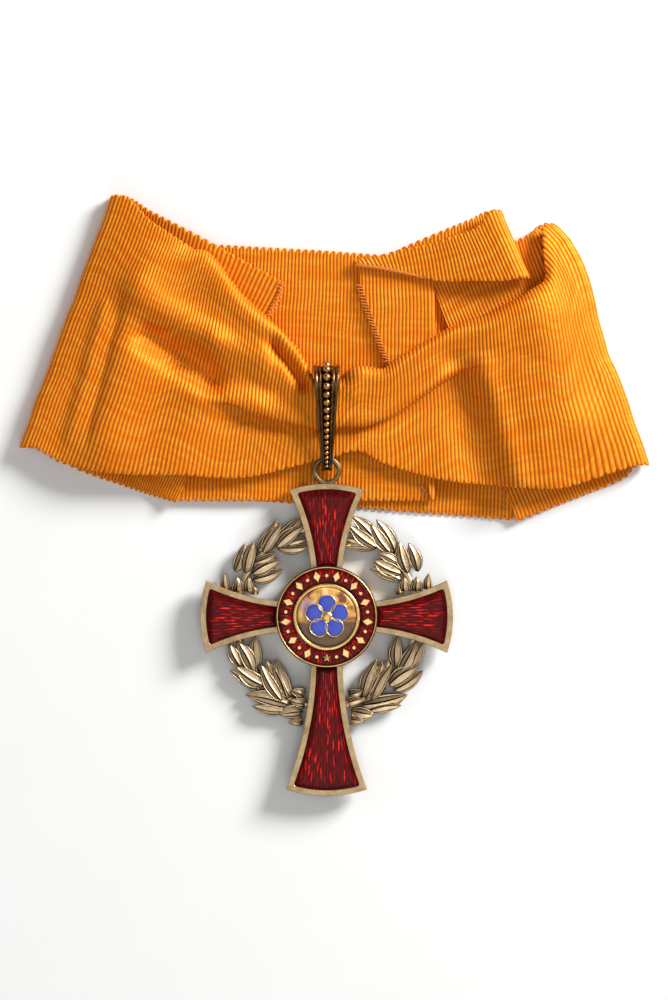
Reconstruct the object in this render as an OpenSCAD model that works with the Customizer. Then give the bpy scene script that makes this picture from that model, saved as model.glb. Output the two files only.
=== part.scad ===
// Order neck badge: an enamelled cross with a laurel wreath, lying flat under its folded neck ribbon.
// Millimetres. Z is up, the cross points along +Y, and the origin is on the surface under the medallion.

/* [Cross] */
// Length of the top arm from the middle of the medallion
top_arm_l = 29.2; // [26:0.1:34]
// Length of each side arm from the middle of the medallion
side_arm_l = 27.7; // [25:0.1:32]
// Length of the bottom arm from the middle of the medallion
bottom_arm_l = 39.3; // [36:0.1:44]
// Width of the top arm at its end
top_arm_w = 16.5; // [14:0.1:18]
// Width of each side arm at its end
side_arm_w = 15.9; // [14:0.1:18]
// Width of the bottom arm at its end
bottom_arm_w = 17.8; // [15:0.1:20]
// Width of every arm where it leaves the medallion
arm_root_w = 7; // [6:0.1:8]
// Thickness of the arms from back to rim
arm_t = 2.4; // [2:0.1:3]
// Width of the gilt rim round each enamel
rim_w = 1.25; // [1:0.05:1.5]
// Depth of the cell that holds the enamel
cell_depth = 1.2; // [0.8:0.1:1.4]

/* [Medallion] */
// Diameter of the medallion
medallion_d = 22.4; // [21:0.1:24]
// Height of the medallion over the arms
medallion_h = 1.6; // [1.3:0.1:2.2]
// Width of the medallion's outer rim
medallion_rim = 0.5; // [0.4:0.05:0.8]
// Outer diameter of the raised ring round the centre
inner_ring_d = 14.7; // [13.5:0.1:16]
// Width of the raised ring round the centre
inner_ring_w = 0.8; // [0.5:0.05:1]
// Depth of the enamel channel and of the centre well
well_depth = 0.7; // [0.5:0.05:0.9]
// Number of long marks round the red ring
mark_count = 12; // [8:1:14]
// Length of each mark
mark_l = 2.4; // [1.8:0.1:2.6]
// Height of the marks, the star and the flower
relief_h = 0.25; // [0.15:0.05:0.4]
// Width across the flower
flower_d = 9.6; // [7:0.1:11]
// Thickness of the boss on the back
boss_t = 2.3; // [1.5:0.1:2.3]

/* [Wreath] */
// Radius of the wreath's stem
wreath_r = 19.8; // [19:0.1:20.5]
// Width of the stem
stem_w = 1.6; // [1.2:0.1:2]
// Thickness of the stem
stem_t = 0.9; // [0.7:0.05:1]
// Width of a full leaf
leaf_w = 3; // [2.4:0.1:3.4]
// Thickness of a leaf at its edge
leaf_t = 0.6; // [0.4:0.05:0.9]
// Height of a leaf's middle rib over its edge
leaf_rib_h = 0.7; // [0.4:0.05:0.9]

/* [Ring and bail] */
// Outer diameter of the suspension ring
ring_d = 6.4; // [6:0.1:7]
// Thickness of the ring's wire
ring_wire = 1.05; // [0.9:0.05:1.2]
// Length of the bail
bail_l = 23.1; // [21:0.1:26]
// Width of the bail at the top
bail_top_w = 5.9; // [5:0.1:7]
// Width of the bail at the ring
bail_foot_w = 2.4; // [2:0.1:2.6]
// Thickness of the bail's wall
bail_wall = 0.75; // [0.6:0.05:0.8]
// Room in the bail over three plies of ribbon
bail_room = 3.9; // [3.7:0.1:5]
// Diameter of the largest bead on the bail
bead_d = 1.9; // [1.4:0.1:2.2]
// Number of beads down the bail
bead_count = 17; // [10:1:19]

/* [Ribbon] */
// Width of the ribbon
ribbon_w = 56; // [54:0.5:58]
// Thickness of the ribbon
ribbon_t = 1; // [0.9:0.05:1]
// Height that the soft front stands over its lowest ply
ribbon_loft = 4; // [3:0.1:4.4]

/* [Hidden] */
$fn = 64;

// Gaps: between stacked pieces, under the medallion, round each enamel, between plies of ribbon,
// and inside a pleat
stack_gap = 0.2;
medallion_gap = 0.15;
seat_gap = 0.1;
ply_gap = 0.2;
pleat_gap = 0.15;
// A cut reaches this far past the face that it opens
past = 1;

gilt = "#b39a63";
dark_gilt = "#6f5a30";
red_enamel = "#8c1212";
blue_enamel = "#4a63c8";
amber_enamel = "#a5702c";
orange_silk = "#ee8f1c";

// Heights of the stacked pieces
ply_pitch = ribbon_t + ply_gap;
cross_z = max(boss_t + stack_gap, 2 * ply_pitch + ply_gap / 2);
rim_z = cross_z + arm_t;
cell_z = rim_z - cell_depth;
medallion_r = medallion_d / 2;
medallion_z = rim_z + medallion_gap;
medallion_top_z = rim_z + medallion_h;
well_z = medallion_top_z - well_depth;
inner_ring_r = inner_ring_d / 2;
enamel_top_z = medallion_top_z - seat_gap;
// The cross's solid middle ends this far inside the medallion's edge
hub_inset = 1.4;
hub_r = medallion_r - hub_inset;

// Arms, one row each: turn from the top arm, length, width at the end
TOP = 0;
LEFT = 1;
RIGHT = 2;
BOTTOM = 3;
arms = [
    [0, top_arm_l, top_arm_w],
    [90, side_arm_l, side_arm_w],
    [-90, side_arm_l, side_arm_w],
    [180, bottom_arm_l, bottom_arm_w]
];
// Hollow of an arm's side and bulge of its end, as shares of their chords
side_hollow = 0.043;
end_bulge = 0.082;

function chord_r(chord, share) = chord / (8 * share) + chord * share / 2;

// One arm along +Y between two heights, with its outline drawn in by inset
module arm_block(arm, inset, low, high) {
    half = arm[2] / 2;
    bulge = arm[2] * end_bulge;
    corner = [half, arm[1] - bulge];
    root = [arm_root_w / 2, medallion_r];
    side = norm(corner - root);
    along = (corner - root) / side;
    out = [along.y, -along.x];
    side_r = chord_r(side, side_hollow);
    side_c = (corner + root) / 2 + out * (side_r - side * side_hollow);
    end_r = chord_r(arm[2], end_bulge);
    rotate(arm[0]) difference() {
        intersection() {
            translate([-half - past, 0, low]) cube([2 * (half + past), arm[1] + past, high - low]);
            translate([0, arm[1] - end_r, low]) cylinder(h = high - low, r = end_r - inset, $fn = 180);
        }
        for (s = [-1, 1]) {
            translate([s * side_c.x, side_c.y, low - past])
                cylinder(h = high - low + 2 * past, r = side_r + inset, $fn = 240);
        }
    }
}

// The cast cross, its cells open to the front, with the ring soldered to the top arm
module cross_frame() {
    color(gilt) {
        difference() {
            union() {
                for (arm = arms) arm_block(arm, 0, cross_z, rim_z);
                translate([0, 0, cross_z]) cylinder(h = arm_t, r = hub_r);
            }
            for (arm = arms) {
                difference() {
                    arm_block(arm, rim_w, cell_z, rim_z + past);
                    translate([0, 0, cell_z - past]) cylinder(h = cell_depth + 3 * past, r = medallion_r);
                }
            }
        }
        suspension_ring();
    }
}

ring_mid_r = (ring_d - ring_wire) / 2;
ring_solder = 0.4;
ring_y = top_arm_l + ring_d / 2 - ring_solder;
// The ring's middle stands at this share of the arms' thickness
ring_rise = 0.58;
ring_z = cross_z + arm_t * ring_rise;

module suspension_ring() {
    translate([0, ring_y, ring_z])
        rotate_extrude($fn = 64) translate([ring_mid_r, 0]) circle(d = ring_wire, $fn = 24);
}

// The enamel of one arm, a low cushion that ends just clear of the medallion
enamel_crown_r = 60;
enamel_crown = 0.2;
module enamel_arm(i) {
    arm = arms[i];
    color(red_enamel) intersection() {
        difference() {
            arm_block(arm, rim_w + seat_gap, cell_z + seat_gap, rim_z + past);
            translate([0, 0, cell_z - past])
                cylinder(h = cell_depth + 3 * past, r = medallion_r + 2 * seat_gap);
        }
        rotate(arm[0]) translate([0, 0, rim_z + enamel_crown - enamel_crown_r])
            rotate([-90, 0, 0]) cylinder(h = arm[1] + past, r = enamel_crown_r, $fn = 240);
    }
}

// Leaves of one side, one row each, as on a clock face turned to start at the side arm.
// Angle and radius of the tip, angle and radius of the base, width. Radii are shares of wreath_r,
// widths are shares of leaf_w.
upper_leaves = [
    [76, 1.15, 56, 1.0, 0.9],
    [76, 1.04, 54, 0.95, 0.9],
    [76, 0.80, 54, 0.94, 0.7],
    [76, 0.88, 62, 0.91, 0.5],
    [63, 1.21, 43, 1.05, 0.85],
    [64, 1.14, 45, 1.0, 0.9],
    [42, 1.22, 26, 1.13, 0.85],
    [46, 1.16, 28, 1.02, 0.95],
    [51, 0.90, 37, 0.99, 0.7],
    [50, 0.81, 30, 0.95, 1],
    [48, 0.71, 26, 0.92, 0.8],
    [23, 1.23, 15, 1.16, 0.6],
    [24, 1.09, 16, 1.03, 0.8],
    [27, 0.97, 18, 0.91, 0.8],
    [23, 0.87, 17, 0.84, 0.5]
];
lower_leaves = [
    [-15, 1.12, -30, 1.1, 0.8],
    [-15, 1.03, -38, 1.02, 1],
    [-15, 0.82, -36, 0.95, 0.9],
    [-29, 1.23, -48, 1.11, 0.8],
    [-29, 1.15, -48, 1.03, 1.1],
    [-44, 1.25, -69, 1.06, 1.1],
    [-50, 1.29, -66, 1.15, 0.7],
    [-35, 0.83, -46, 0.90, 0.7],
    [-36, 0.90, -62, 1.06, 0.9],
    [-39, 0.80, -65, 1.02, 1],
    [-40, 0.73, -66, 0.98, 0.9],
    [-64, 0.91, -74, 0.91, 0.8],
    [-66, 1.01, -76, 0.99, 0.7],
    [-64, 1.21, -76, 1.08, 0.9],
    [-70, 1.25, -77, 1.18, 0.6]
];
stem_z = cross_z - stack_gap - stem_t;
leaf_z = stem_z + stem_t / 2;
// A leaf's outline as place along it, width share and sides, from base to tip
leaf_sections = [
    [0, 0.3, 8],
    [0.45, 1, 12],
    [0.72, 0.66, 10],
    [0.97, 0.12, 6]
];
// Its rib: start and length along the leaf, and width as a share of the leaf's
leaf_rib = [0.15, 0.6, 0.08];
// Its stalk: width as a share of leaf_w, and how many degrees back along the stem it joins
stalk_share = 0.27;
stalk_lag = 5;

function polar(angle, share) = [cos(angle), sin(angle)] * wreath_r * share;

// A pointed leaf from its base to its tip, with a raised rib
module leaf(row) {
    tip = polar(row[0], row[1]);
    base = polar(row[2], row[3]);
    run = tip - base;
    l = norm(run);
    w = leaf_w * row[4];
    translate([base.x, base.y, leaf_z]) rotate(atan2(run.y, run.x)) hull() {
        for (s = leaf_sections) {
            translate([l * s[0], 0, 0]) cylinder(h = leaf_t, d = w * s[1], $fn = s[2]);
        }
        translate([l * leaf_rib[0], -w * leaf_rib[2] / 2, 0])
            cube([l * leaf_rib[1], w * leaf_rib[2], leaf_t + leaf_rib_h]);
    }
    joint = polar(row[2] - stalk_lag, 1);
    hull() for (end = [base, joint]) {
        translate([end.x, end.y, leaf_z]) cylinder(h = leaf_t, d = leaf_w * stalk_share, $fn = 6);
    }
}

// Two mirrored branches on one stem ring, cut clear of the arms that pass over it
module laurel_wreath() {
    color(gilt) difference() {
        union() {
            translate([0, 0, stem_z]) difference() {
                cylinder(h = stem_t, r = wreath_r + stem_w / 2, $fn = 96);
                translate([0, 0, -past])
                    cylinder(h = stem_t + 2 * past, r = wreath_r - stem_w / 2, $fn = 96);
            }
            for (side = [0, 1]) mirror([side, 0, 0]) {
                for (row = upper_leaves) leaf(row);
                for (row = lower_leaves) leaf(row);
            }
        }
        for (arm = arms) arm_block(arm, -stack_gap, cross_z - stack_gap, rim_z + past);
    }
}

// The raised collet: outer rim, channel for the red ring, inner ring and centre well
module medallion_frame() {
    color(gilt) translate([0, 0, medallion_z]) difference() {
        cylinder(h = medallion_top_z - medallion_z, r = medallion_r, $fn = 96);
        translate([0, 0, well_z - medallion_z]) difference() {
            cylinder(h = well_depth + past, r = medallion_r - medallion_rim, $fn = 96);
            translate([0, 0, -past]) cylinder(h = well_depth + 3 * past, r = inner_ring_r);
        }
        translate([0, 0, well_z - medallion_z])
            cylinder(h = well_depth + past, r = inner_ring_r - inner_ring_w);
    }
}

red_ring_out = medallion_r - medallion_rim - seat_gap;
red_ring_in = inner_ring_r + seat_gap;
red_ring_mid = (red_ring_out + red_ring_in) / 2;
module medallion_ring_enamel() {
    color(red_enamel) translate([0, 0, well_z + seat_gap]) difference() {
        cylinder(h = enamel_top_z - well_z - seat_gap, r = red_ring_out, $fn = 96);
        translate([0, 0, -past]) cylinder(h = well_depth + 2 * past, r = red_ring_in);
    }
}

// Lozenges with pellets between them, and one star at the foot of the ring
mark_share = 0.5;
pellet_d = 0.55;
star_d = 1.9;
star_waist = 0.42;
mark_step = 360 / (mark_count + 1);
module medallion_ornaments() {
    color(gilt) translate([0, 0, enamel_top_z + seat_gap / 2]) {
        for (i = [1:mark_count]) {
            rotate(-90 + i * mark_step) translate([red_ring_mid, 0]) linear_extrude(relief_h)
                polygon(mark_l / 2 * [[-1, 0], [0, -mark_share], [1, 0], [0, mark_share]]);
        }
        for (i = [0:mark_count]) {
            rotate(-90 + (i + 0.5) * mark_step) translate([red_ring_mid, 0])
                cylinder(h = relief_h, d = pellet_d, $fn = 24);
        }
        translate([0, -red_ring_mid]) linear_extrude(relief_h)
            polygon([for (i = [0:9]) let (r = star_d / 2 * (i % 2 == 0 ? 1 : star_waist))
                r * [sin(36 * i), cos(36 * i)]]);
    }
}

centre_r = inner_ring_r - inner_ring_w - seat_gap;
module medallion_centre_enamel() {
    color(amber_enamel) translate([0, 0, well_z + seat_gap])
        cylinder(h = enamel_top_z - well_z - seat_gap, r = centre_r);
}

// Five round petals about a raised heart: shares of flower_d, and the heart's height over a petal's
petal_share = 0.42;
heart_share = 0.34;
heart_rise = 1.6;
petal_d = flower_d * petal_share;
module centre_flower() {
    color(blue_enamel) translate([0, 0, enamel_top_z + seat_gap / 2]) {
        for (i = [0:4]) {
            rotate(90 + 72 * i) translate([(flower_d - petal_d) / 2, 0])
                cylinder(h = relief_h, d = petal_d);
        }
        cylinder(h = relief_h * heart_rise, d = flower_d * heart_share);
    }
}

module reverse_medallion() {
    color(gilt) translate([0, 0, cross_z - stack_gap - boss_t])
        cylinder(h = boss_t, r = medallion_r, $fn = 96);
}

// The bail: a closed loop seen from the side, cut to a taper seen from the front
bail_depth = 2 * bail_wall + 3 * ribbon_t + bail_room;
bail_foot_hollow_r = 0.7;
bail_foot_r = bail_foot_hollow_r + bail_wall;
bail_top_r = bail_depth / 2;
bail_y = ring_y;
bail_z = ring_z - bail_foot_r;

// Closed outline of the loop in the plane of its depth, drawn in by inset, across the whole width
module bail_loop(inset) {
    foot = [bail_y + bail_foot_r, bail_z + bail_foot_r];
    head = [bail_y + bail_l - bail_top_r, bail_z + bail_top_r];
    span = norm(head - foot);
    tilt = atan2(head.y - foot.y, head.x - foot.x);
    turn = asin((bail_top_r - bail_foot_r) / span);
    w = bail_top_w + 2 * (inset > 0 ? past : 0);
    r_foot = bail_foot_r - inset;
    r_head = bail_top_r - inset;
    up = [cos(tilt + 90 + turn), sin(tilt + 90 + turn)];
    down = [cos(tilt - 90 - turn), sin(tilt - 90 - turn)];
    translate([-w / 2, 0, 0]) rotate([90, 0, 90]) {
        translate(foot) cylinder(h = w, r = r_foot);
        translate(head) cylinder(h = w, r = r_head);
        linear_extrude(w) polygon([foot + up * r_foot, foot + down * r_foot,
            head + down * r_head, head + up * r_head]);
    }
}

module suspension_bail() {
    color(dark_gilt) {
        intersection() {
            difference() {
                bail_loop(0);
                bail_loop(bail_wall);
            }
            translate([0, 0, bail_z - past]) linear_extrude(bail_depth + 2 * past)
                polygon([[-bail_foot_w / 2, bail_y], [bail_foot_w / 2, bail_y],
                    [bail_top_w / 2, bail_y + bail_l], [-bail_top_w / 2, bail_y + bail_l]]);
        }
        for (i = [0:bead_count - 1]) bail_bead(i / (bead_count - 1));
    }
}

// A bead down the front of the bail, largest at the top. The last is smaller by bead_taper, and
// bead_crowd draws the beads together towards the foot
bead_taper = 0.66;
bead_crowd = 0.35;
module bail_bead(share) {
    d = bead_d * (1 - bead_taper * share);
    y_high = bail_l - bail_top_r;
    y_low = 2 * bail_foot_r + ring_wire;
    y = y_high + (y_low - y_high) * share * (1 + bead_crowd * (1 - share));
    z = 2 * bail_foot_r + (2 * bail_top_r - 2 * bail_foot_r) * (y - bail_foot_r)
        / (bail_l - bail_top_r - bail_foot_r);
    translate([0, bail_y + y, bail_z + z]) sphere(d = d, $fn = 24);
}

// Ribbon layout, all in shares of the ribbon's width, from the middle of the bail
ribbon_y = bail_y + bail_l / 2;
function spot(share) = [share.x * ribbon_w, ribbon_y + share.y * ribbon_w];
// Height of the middle of the n-th ply over the surface
function ply_z(n) = ribbon_t / 2 + n * ply_pitch;
base_z = ply_z(3);
pleat = ribbon_t + pleat_gap;
// Most radius of a fold's round turn, and the roll and tuck from which a line is fully rolled or tucked
soft_turn = 1.6 * ribbon_t;
full_roll = 0.05;
full_tuck = 0.02;

// Front of the ribbon, a row for each line across it from the left fold to the right one.
// It begins with the top edge's x and y and the bottom edge's x and y, and these columns follow:
// place of the lip along the line (share of the line)
LIP = 4;
// Length rolled under at the top, and depth of the tuck under the lip (shares of ribbon_w)
ROLL = 5;
TUCK = 6;
// Height of the top, the middle, the lip and the flap (shares of ribbon_loft)
TOP_H = 7;
MID_H = 8;
LIP_H = 9;
FLAP_H = 10;
// Bulge to the right (share of ribbon_w)
BULGE = 11;
front_rows = [
    [-0.84, 0.87, -1.20, -0.11, 0.6, 0, 0, 0, 0, 0, 0, 0],
    [-0.69, 0.77, -1.04, -0.17, 0.6, 0, 0, 0.3, 0.1, 0.1, 0.1, 0],
    [-0.58, 0.70, -0.87, -0.21, 0.6, 0.01, 0, 0.5, 0.1, 0.15, 0.15, 0],
    [-0.47, 0.65, -0.69, -0.22, 0.6, 0.05, 0, 0.7, 0.2, 0.3, 0.15, 0],
    [-0.40, 0.57, -0.56, -0.22, 0.6, 0.08, 0, 0.8, 0.3, 0.45, 0.1, 0],
    [-0.33, 0.48, -0.44, -0.23, 0.6, 0.1, 0.01, 0.85, 0.4, 0.55, 0.05, 0],
    [-0.25, 0.41, -0.32, -0.23, 0.61, 0.1, 0.02, 0.9, 0.5, 0.6, 0, 0],
    [-0.16, 0.32, -0.22, -0.21, 0.62, 0.1, 0.035, 0.9, 0.6, 0.6, 0, 0],
    [-0.11, 0.26, -0.14, -0.19, 0.63, 0.1, 0.045, 0.85, 0.65, 0.6, 0, 0],
    [-0.07, 0.18, -0.07, -0.17, 0.61, 0.09, 0.045, 0.8, 0.7, 0.58, 0, 0],
    [-0.03, 0.13, -0.03, -0.16, 0.6, 0.08, 0.045, 0.75, 0.7, 0.575, 0, 0],
    [0.03, 0.13, 0.03, -0.15, 0.6, 0.08, 0.045, 0.75, 0.7, 0.575, 0, 0],
    [0.08, 0.18, 0.08, -0.13, 0.68, 0.09, 0.045, 0.8, 0.7, 0.58, 0, 0],
    [0.14, 0.20, 0.14, -0.13, 0.7, 0.1, 0.05, 0.85, 0.7, 0.6, 0, 0],
    [0.22, 0.19, 0.21, -0.17, 0.55, 0.1, 0.045, 0.85, 0.7, 0.6, 0, 0],
    [0.28, 0.23, 0.30, -0.20, 0.46, 0.1, 0.04, 0.9, 0.7, 0.6, 0, 0],
    [0.39, 0.30, 0.41, -0.23, 0.37, 0.1, 0.03, 0.9, 0.7, 0.6, 0.05, 0],
    [0.50, 0.36, 0.53, -0.25, 0.3, 0.1, 0.02, 0.9, 0.7, 0.55, 0.15, 0],
    [0.62, 0.40, 0.66, -0.26, 0.3, 0.09, 0, 0.85, 0.6, 0.4, 0.2, 0.004],
    [0.72, 0.45, 0.79, -0.27, 0.3, 0.08, 0, 0.8, 0.5, 0.3, 0.25, 0.008],
    [0.80, 0.50, 0.92, -0.27, 0.4, 0.05, 0, 0.7, 0.4, 0.3, 0.25, 0.014],
    [0.85, 0.57, 1.03, -0.24, 0.5, 0.02, 0, 0.5, 0.3, 0.25, 0.2, 0.024],
    [0.85, 0.68, 1.15, -0.20, 0.5, 0, 0, 0.3, 0.2, 0.15, 0.1, 0.038],
    [0.89, 0.76, 1.26, -0.18, 0.5, 0, 0, 0, 0, 0, 0, 0.05]
];
// Folded ends behind the front, from each fold to its cut end: top edge x and y, bottom edge x and y
left_rows = [
    [-0.69, 0.81, -0.97, -0.20],
    [-0.48, 0.70, -0.77, -0.27],
    [-0.32, 0.61, -0.68, -0.30],
    [-0.17, 0.53, -0.61, -0.32]
];
right_rows = [
    [0.80, 0.72, 1.17, -0.23],
    [0.68, 0.67, 1.03, -0.29],
    [0.54, 0.61, 0.90, -0.34],
    [0.41, 0.54, 0.76, -0.40]
];
fronts = len(front_rows);
// Share of its bulge that a line has at shares of its length
bulge_curve = [
    [0, 0], [0.06, 0.5], [0.12, 0.85], [0.19, 1], [0.27, 0.9], [0.36, 0.62], [0.55, 0.2], [0.7, 0.3],
    [1, 0]
];
// Long soft folds of the front: from x and y, to x and y, and these columns:
// width (share of ribbon_w) and height (share of ribbon_loft)
FOLD_W = 4;
FOLD_H = 5;
front_folds = [
    [-0.76, 0.47, -0.44, 0.30, 0.055, 0.34],
    [-0.44, 0.30, -0.24, 0.22, 0.05, 0.22],
    [-0.80, 0.36, -0.50, 0.16, 0.055, -0.30],
    [-0.50, 0.16, -0.20, 0.10, 0.045, -0.24],
    [0.54, 0.26, 0.61, 0.16, 0.045, -0.34],
    [0.61, 0.16, 0.74, -0.20, 0.045, -0.30],
    [0.66, 0.30, 0.84, -0.16, 0.09, 0.16]
];

function mix(a, b, t) = a + (b - a) * t;
function step(t) = let (c = min(1, max(0, t))) c * c * (3 - 2 * c);
function curve(a, b, c, d, t) = 0.5 * (2 * b + (c - a) * t + (2 * a - 5 * b + 4 * c - d) * t * t
    + (3 * b - a - 3 * c + d) * t * t * t);
// The front table's row at any place between rows, on a smooth curve
function front_at(u) = let (
    i = min(fronts - 2, floor(u)),
    a = front_rows[max(0, i - 1)],
    d = front_rows[min(fronts - 1, i + 2)]
) curve(a, front_rows[i], front_rows[i + 1], d, u - i);

// One line across the front as [distance from the top edge, height] at 19 places
function front_profile(row, l) = let (
    lip = row[LIP] * l,
    rest = l - lip,
    rolled = min(1, max(0, row[ROLL]) / full_roll),
    tucked = min(1, max(0, row[TUCK]) / full_tuck),
    roll = max(0, row[ROLL]) * ribbon_w,
    tuck = max(row[TUCK] * ribbon_w, 2 * pleat),
    top = base_z + row[TOP_H] * ribbon_loft,
    mid = base_z + row[MID_H] * ribbon_loft,
    flap = base_z + row[FLAP_H] * ribbon_loft,
    brow = max(base_z + row[LIP_H] * ribbon_loft, mix(flap, flap + 2 * pleat, tucked)),
    half = (top - base_z) / 2,
    turn = min(half, soft_turn),
    shoulder = mix(mid, top, 0.3 * rolled),
    slope = mix(mid, brow, 0.4)
) concat(
    [[mix(0, max(roll, turn + soft_turn / 4), rolled), mix(top, base_z, rolled)]],
    [for (k = [0:4]) let (a = 45 * k - 90) [
        mix((0.03 + 0.03 * k) * lip, turn * (1 - cos(a)), rolled),
        mix(top, base_z + half + half * sin(a), rolled)
    ]],
    [
        [0.28 * lip, mix(top, shoulder, 0.5)],
        [0.42 * lip, shoulder],
        [0.56 * lip, mix(shoulder, slope, 0.5)],
        [0.7 * lip, slope]
    ],
    [
        [mix(0.85 * lip, lip - pleat / 2, tucked), mix(mix(mid, brow, 0.8), brow, tucked)],
        [mix(0.92 * lip, lip, tucked), mix(brow, brow - pleat / 2, tucked)],
        [mix(0.99 * lip, lip - pleat / 2, tucked), mix(brow, brow - pleat, tucked)],
        [mix(lip + 0.05 * rest, lip - tuck + pleat / 2, tucked),
            mix(mix(brow, flap, 0.2), flap + pleat, tucked)],
        [mix(lip + 0.12 * rest, lip - tuck, tucked), mix(mix(brow, flap, 0.5), flap + pleat / 2, tucked)],
        [mix(lip + 0.2 * rest, lip - tuck + pleat / 2, tucked), mix(mix(brow, flap, 0.8), flap, tucked)]
    ],
    [for (k = [0.45, 0.72, 1]) [lip + k * rest, flap]]
);
places = 19;

// The two ends of a table row's line
function from_end(row) = spot([row[0], row[1]]);
function to_end(row) = spot([row[2], row[3]]);

// The place at a share of the straight line between a row's two edges, moved aside by its bulge
function row_place(row, share) = let (
    top = from_end(row),
    foot = to_end(row),
    along = (foot - top) / norm(foot - top),
    bulge = is_undef(row[BULGE]) ? 0 : row[BULGE] * ribbon_w * lookup(share, bulge_curve)
) mix(top, foot, share) + [-along.y, along.x] * bulge;

// Height that the soft folds add at a place of the front, where it lies over the folded ends
function fold_height(p, z) = let (adds = [for (f = front_folds) let (
    from = from_end(f),
    run = to_end(f) - from,
    t = min(1, max(0, (p - from) * run / (run * run))),
    away = norm(p - from - t * run) / (f[FOLD_W] * ribbon_w)
) f[FOLD_H] * exp(-away * away)])
    adds * [for (a = adds) 1] * ribbon_loft * step((z - ply_z(2.4)) / ply_pitch);

// A line across the front in space
function front_line(u) = let (row = front_at(u), l = norm(to_end(row) - from_end(row)))
    [for (p = front_profile(row, l)) let (place = row_place(row, p.x / l))
        [place.x, place.y, p.y + fold_height(place, p.y)]];

// The folded ends lie on the surface and climb over what is sewn under them
left_climb = [-0.72 * ribbon_w, -0.60 * ribbon_w];
right_climb = [0.92 * ribbon_w, 0.82 * ribbon_w];
function back_z(x, climb, ply) = mix(ply_z(0), ply_z(ply), step((x - climb[0]) / (climb[1] - climb[0])));
function back_line(row, climb, ply) = [for (j = [0:places - 1]) let (p = row_place(row, j / (places - 1)))
    [p.x, p.y, back_z(p.x, climb, ply)]];
// The round turn at a fold, from a high ply down to a low one. Side is 1 at a right fold, -1 at a left one
function turn_lines(row, side, high, low, count) = let (half = (high - low) / 2)
    [for (a = [90:-45:-90]) [for (j = [0:count - 1]) let (p = row_place(row, j / (count - 1)))
        [p.x - side * half * (1 - cos(a)), p.y, low + half + half * sin(a)]]];

front_steps = 2 * (fronts - 1);
band_lines = concat(
    [for (i = [3:-1:0]) back_line(left_rows[i], left_climb, 2)],
    [for (i = [4:-1:0]) turn_lines(front_rows[0], -1, base_z, ply_z(0), places)[i]],
    [for (i = [2:front_steps - 2]) front_line(i / 2)],
    turn_lines(front_rows[fronts - 1], 1, base_z, ply_z(0), places),
    [for (i = [0:3]) back_line(right_rows[i], right_climb, 1)]
);

// A wall of even thickness round a grid of points
module walled_sheet(lines, t) {
    m = len(lines);
    n = len(lines[0]);
    function normal(i, j) = let (
        a = lines[min(m - 1, i + 1)][j] - lines[max(0, i - 1)][j],
        b = lines[i][min(n - 1, j + 1)] - lines[i][max(0, j - 1)],
        c = cross(b, a)
    ) c / norm(c);
    upper = [for (i = [0:m - 1]) for (j = [0:n - 1]) lines[i][j] + normal(i, j) * t / 2];
    lower = [for (i = [0:m - 1]) for (j = [0:n - 1]) lines[i][j] - normal(i, j) * t / 2];
    last = m * n;
    function at(i, j) = i * n + j;
    rim = concat(
        [for (j = [0:n - 2]) at(0, j)],
        [for (i = [0:m - 2]) at(i, n - 1)],
        [for (j = [n - 1:-1:1]) at(m - 1, j)],
        [for (i = [m - 1:-1:1]) at(i, 0)]
    );
    faces = concat(
        [for (i = [0:m - 2]) for (j = [0:n - 2]) for (f = [
            [at(i, j), at(i, j + 1), at(i + 1, j + 1)],
            [at(i, j), at(i + 1, j + 1), at(i + 1, j)],
            [last + at(i, j), last + at(i + 1, j + 1), last + at(i, j + 1)],
            [last + at(i, j), last + at(i + 1, j), last + at(i + 1, j + 1)]
        ]) f],
        [for (k = [0:len(rim) - 1]) let (a = rim[k], b = rim[(k + 1) % len(rim)]) for (f = [
            [a, last + a, last + b], [a, last + b, b]
        ]) f]
    );
    polyhedron(points = concat(upper, lower), faces = faces);
}

module ribbon_band() {
    color(orange_silk) walled_sheet(band_lines, ribbon_t);
}

// A flat ply with the given outline
module ply(outline, n) {
    translate([0, 0, ply_z(n) - ribbon_t / 2]) linear_extrude(ribbon_t)
        polygon([for (p = outline) spot(p)]);
}

// The round turn that joins two neighbouring plies along the line from a to b
module ply_turn(a, b, n) {
    from = spot(a);
    to = spot(b);
    l = norm(to - from);
    z = (ply_z(n) + ply_z(n + 1)) / 2;
    r = ply_pitch / 2 + ribbon_t / 2;
    translate([from.x, from.y, z]) rotate(atan2(to.y - from.y, to.x - from.x)) difference() {
        rotate([0, 90, 0]) cylinder(h = l, r = r);
        translate([-past, 0, -r - past]) cube([l + 2 * past, r + past, 2 * (r + past)]);
        translate([-past, 0, 0]) rotate([0, 90, 0]) cylinder(h = l + 2 * past, r = ply_gap / 2);
    }
}

fold_foot = [0.41, -0.32];
fold_head = [0.41, 0.63];
module back_panel_left() {
    color(orange_silk) {
        ply([[-0.58, -0.32], fold_foot, fold_head, [-0.50, 0.68]], 1);
        ply([[0.41, -0.23], fold_head, [0.11, 0.64]], 2);
        ply_turn(fold_foot, fold_head, 1);
    }
}

module back_panel_right() {
    color(orange_silk) ply([[-0.27, -0.32], [0.71, -0.39], [0.77, 0.59], [-0.20, 0.65]], 0);
}

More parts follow.
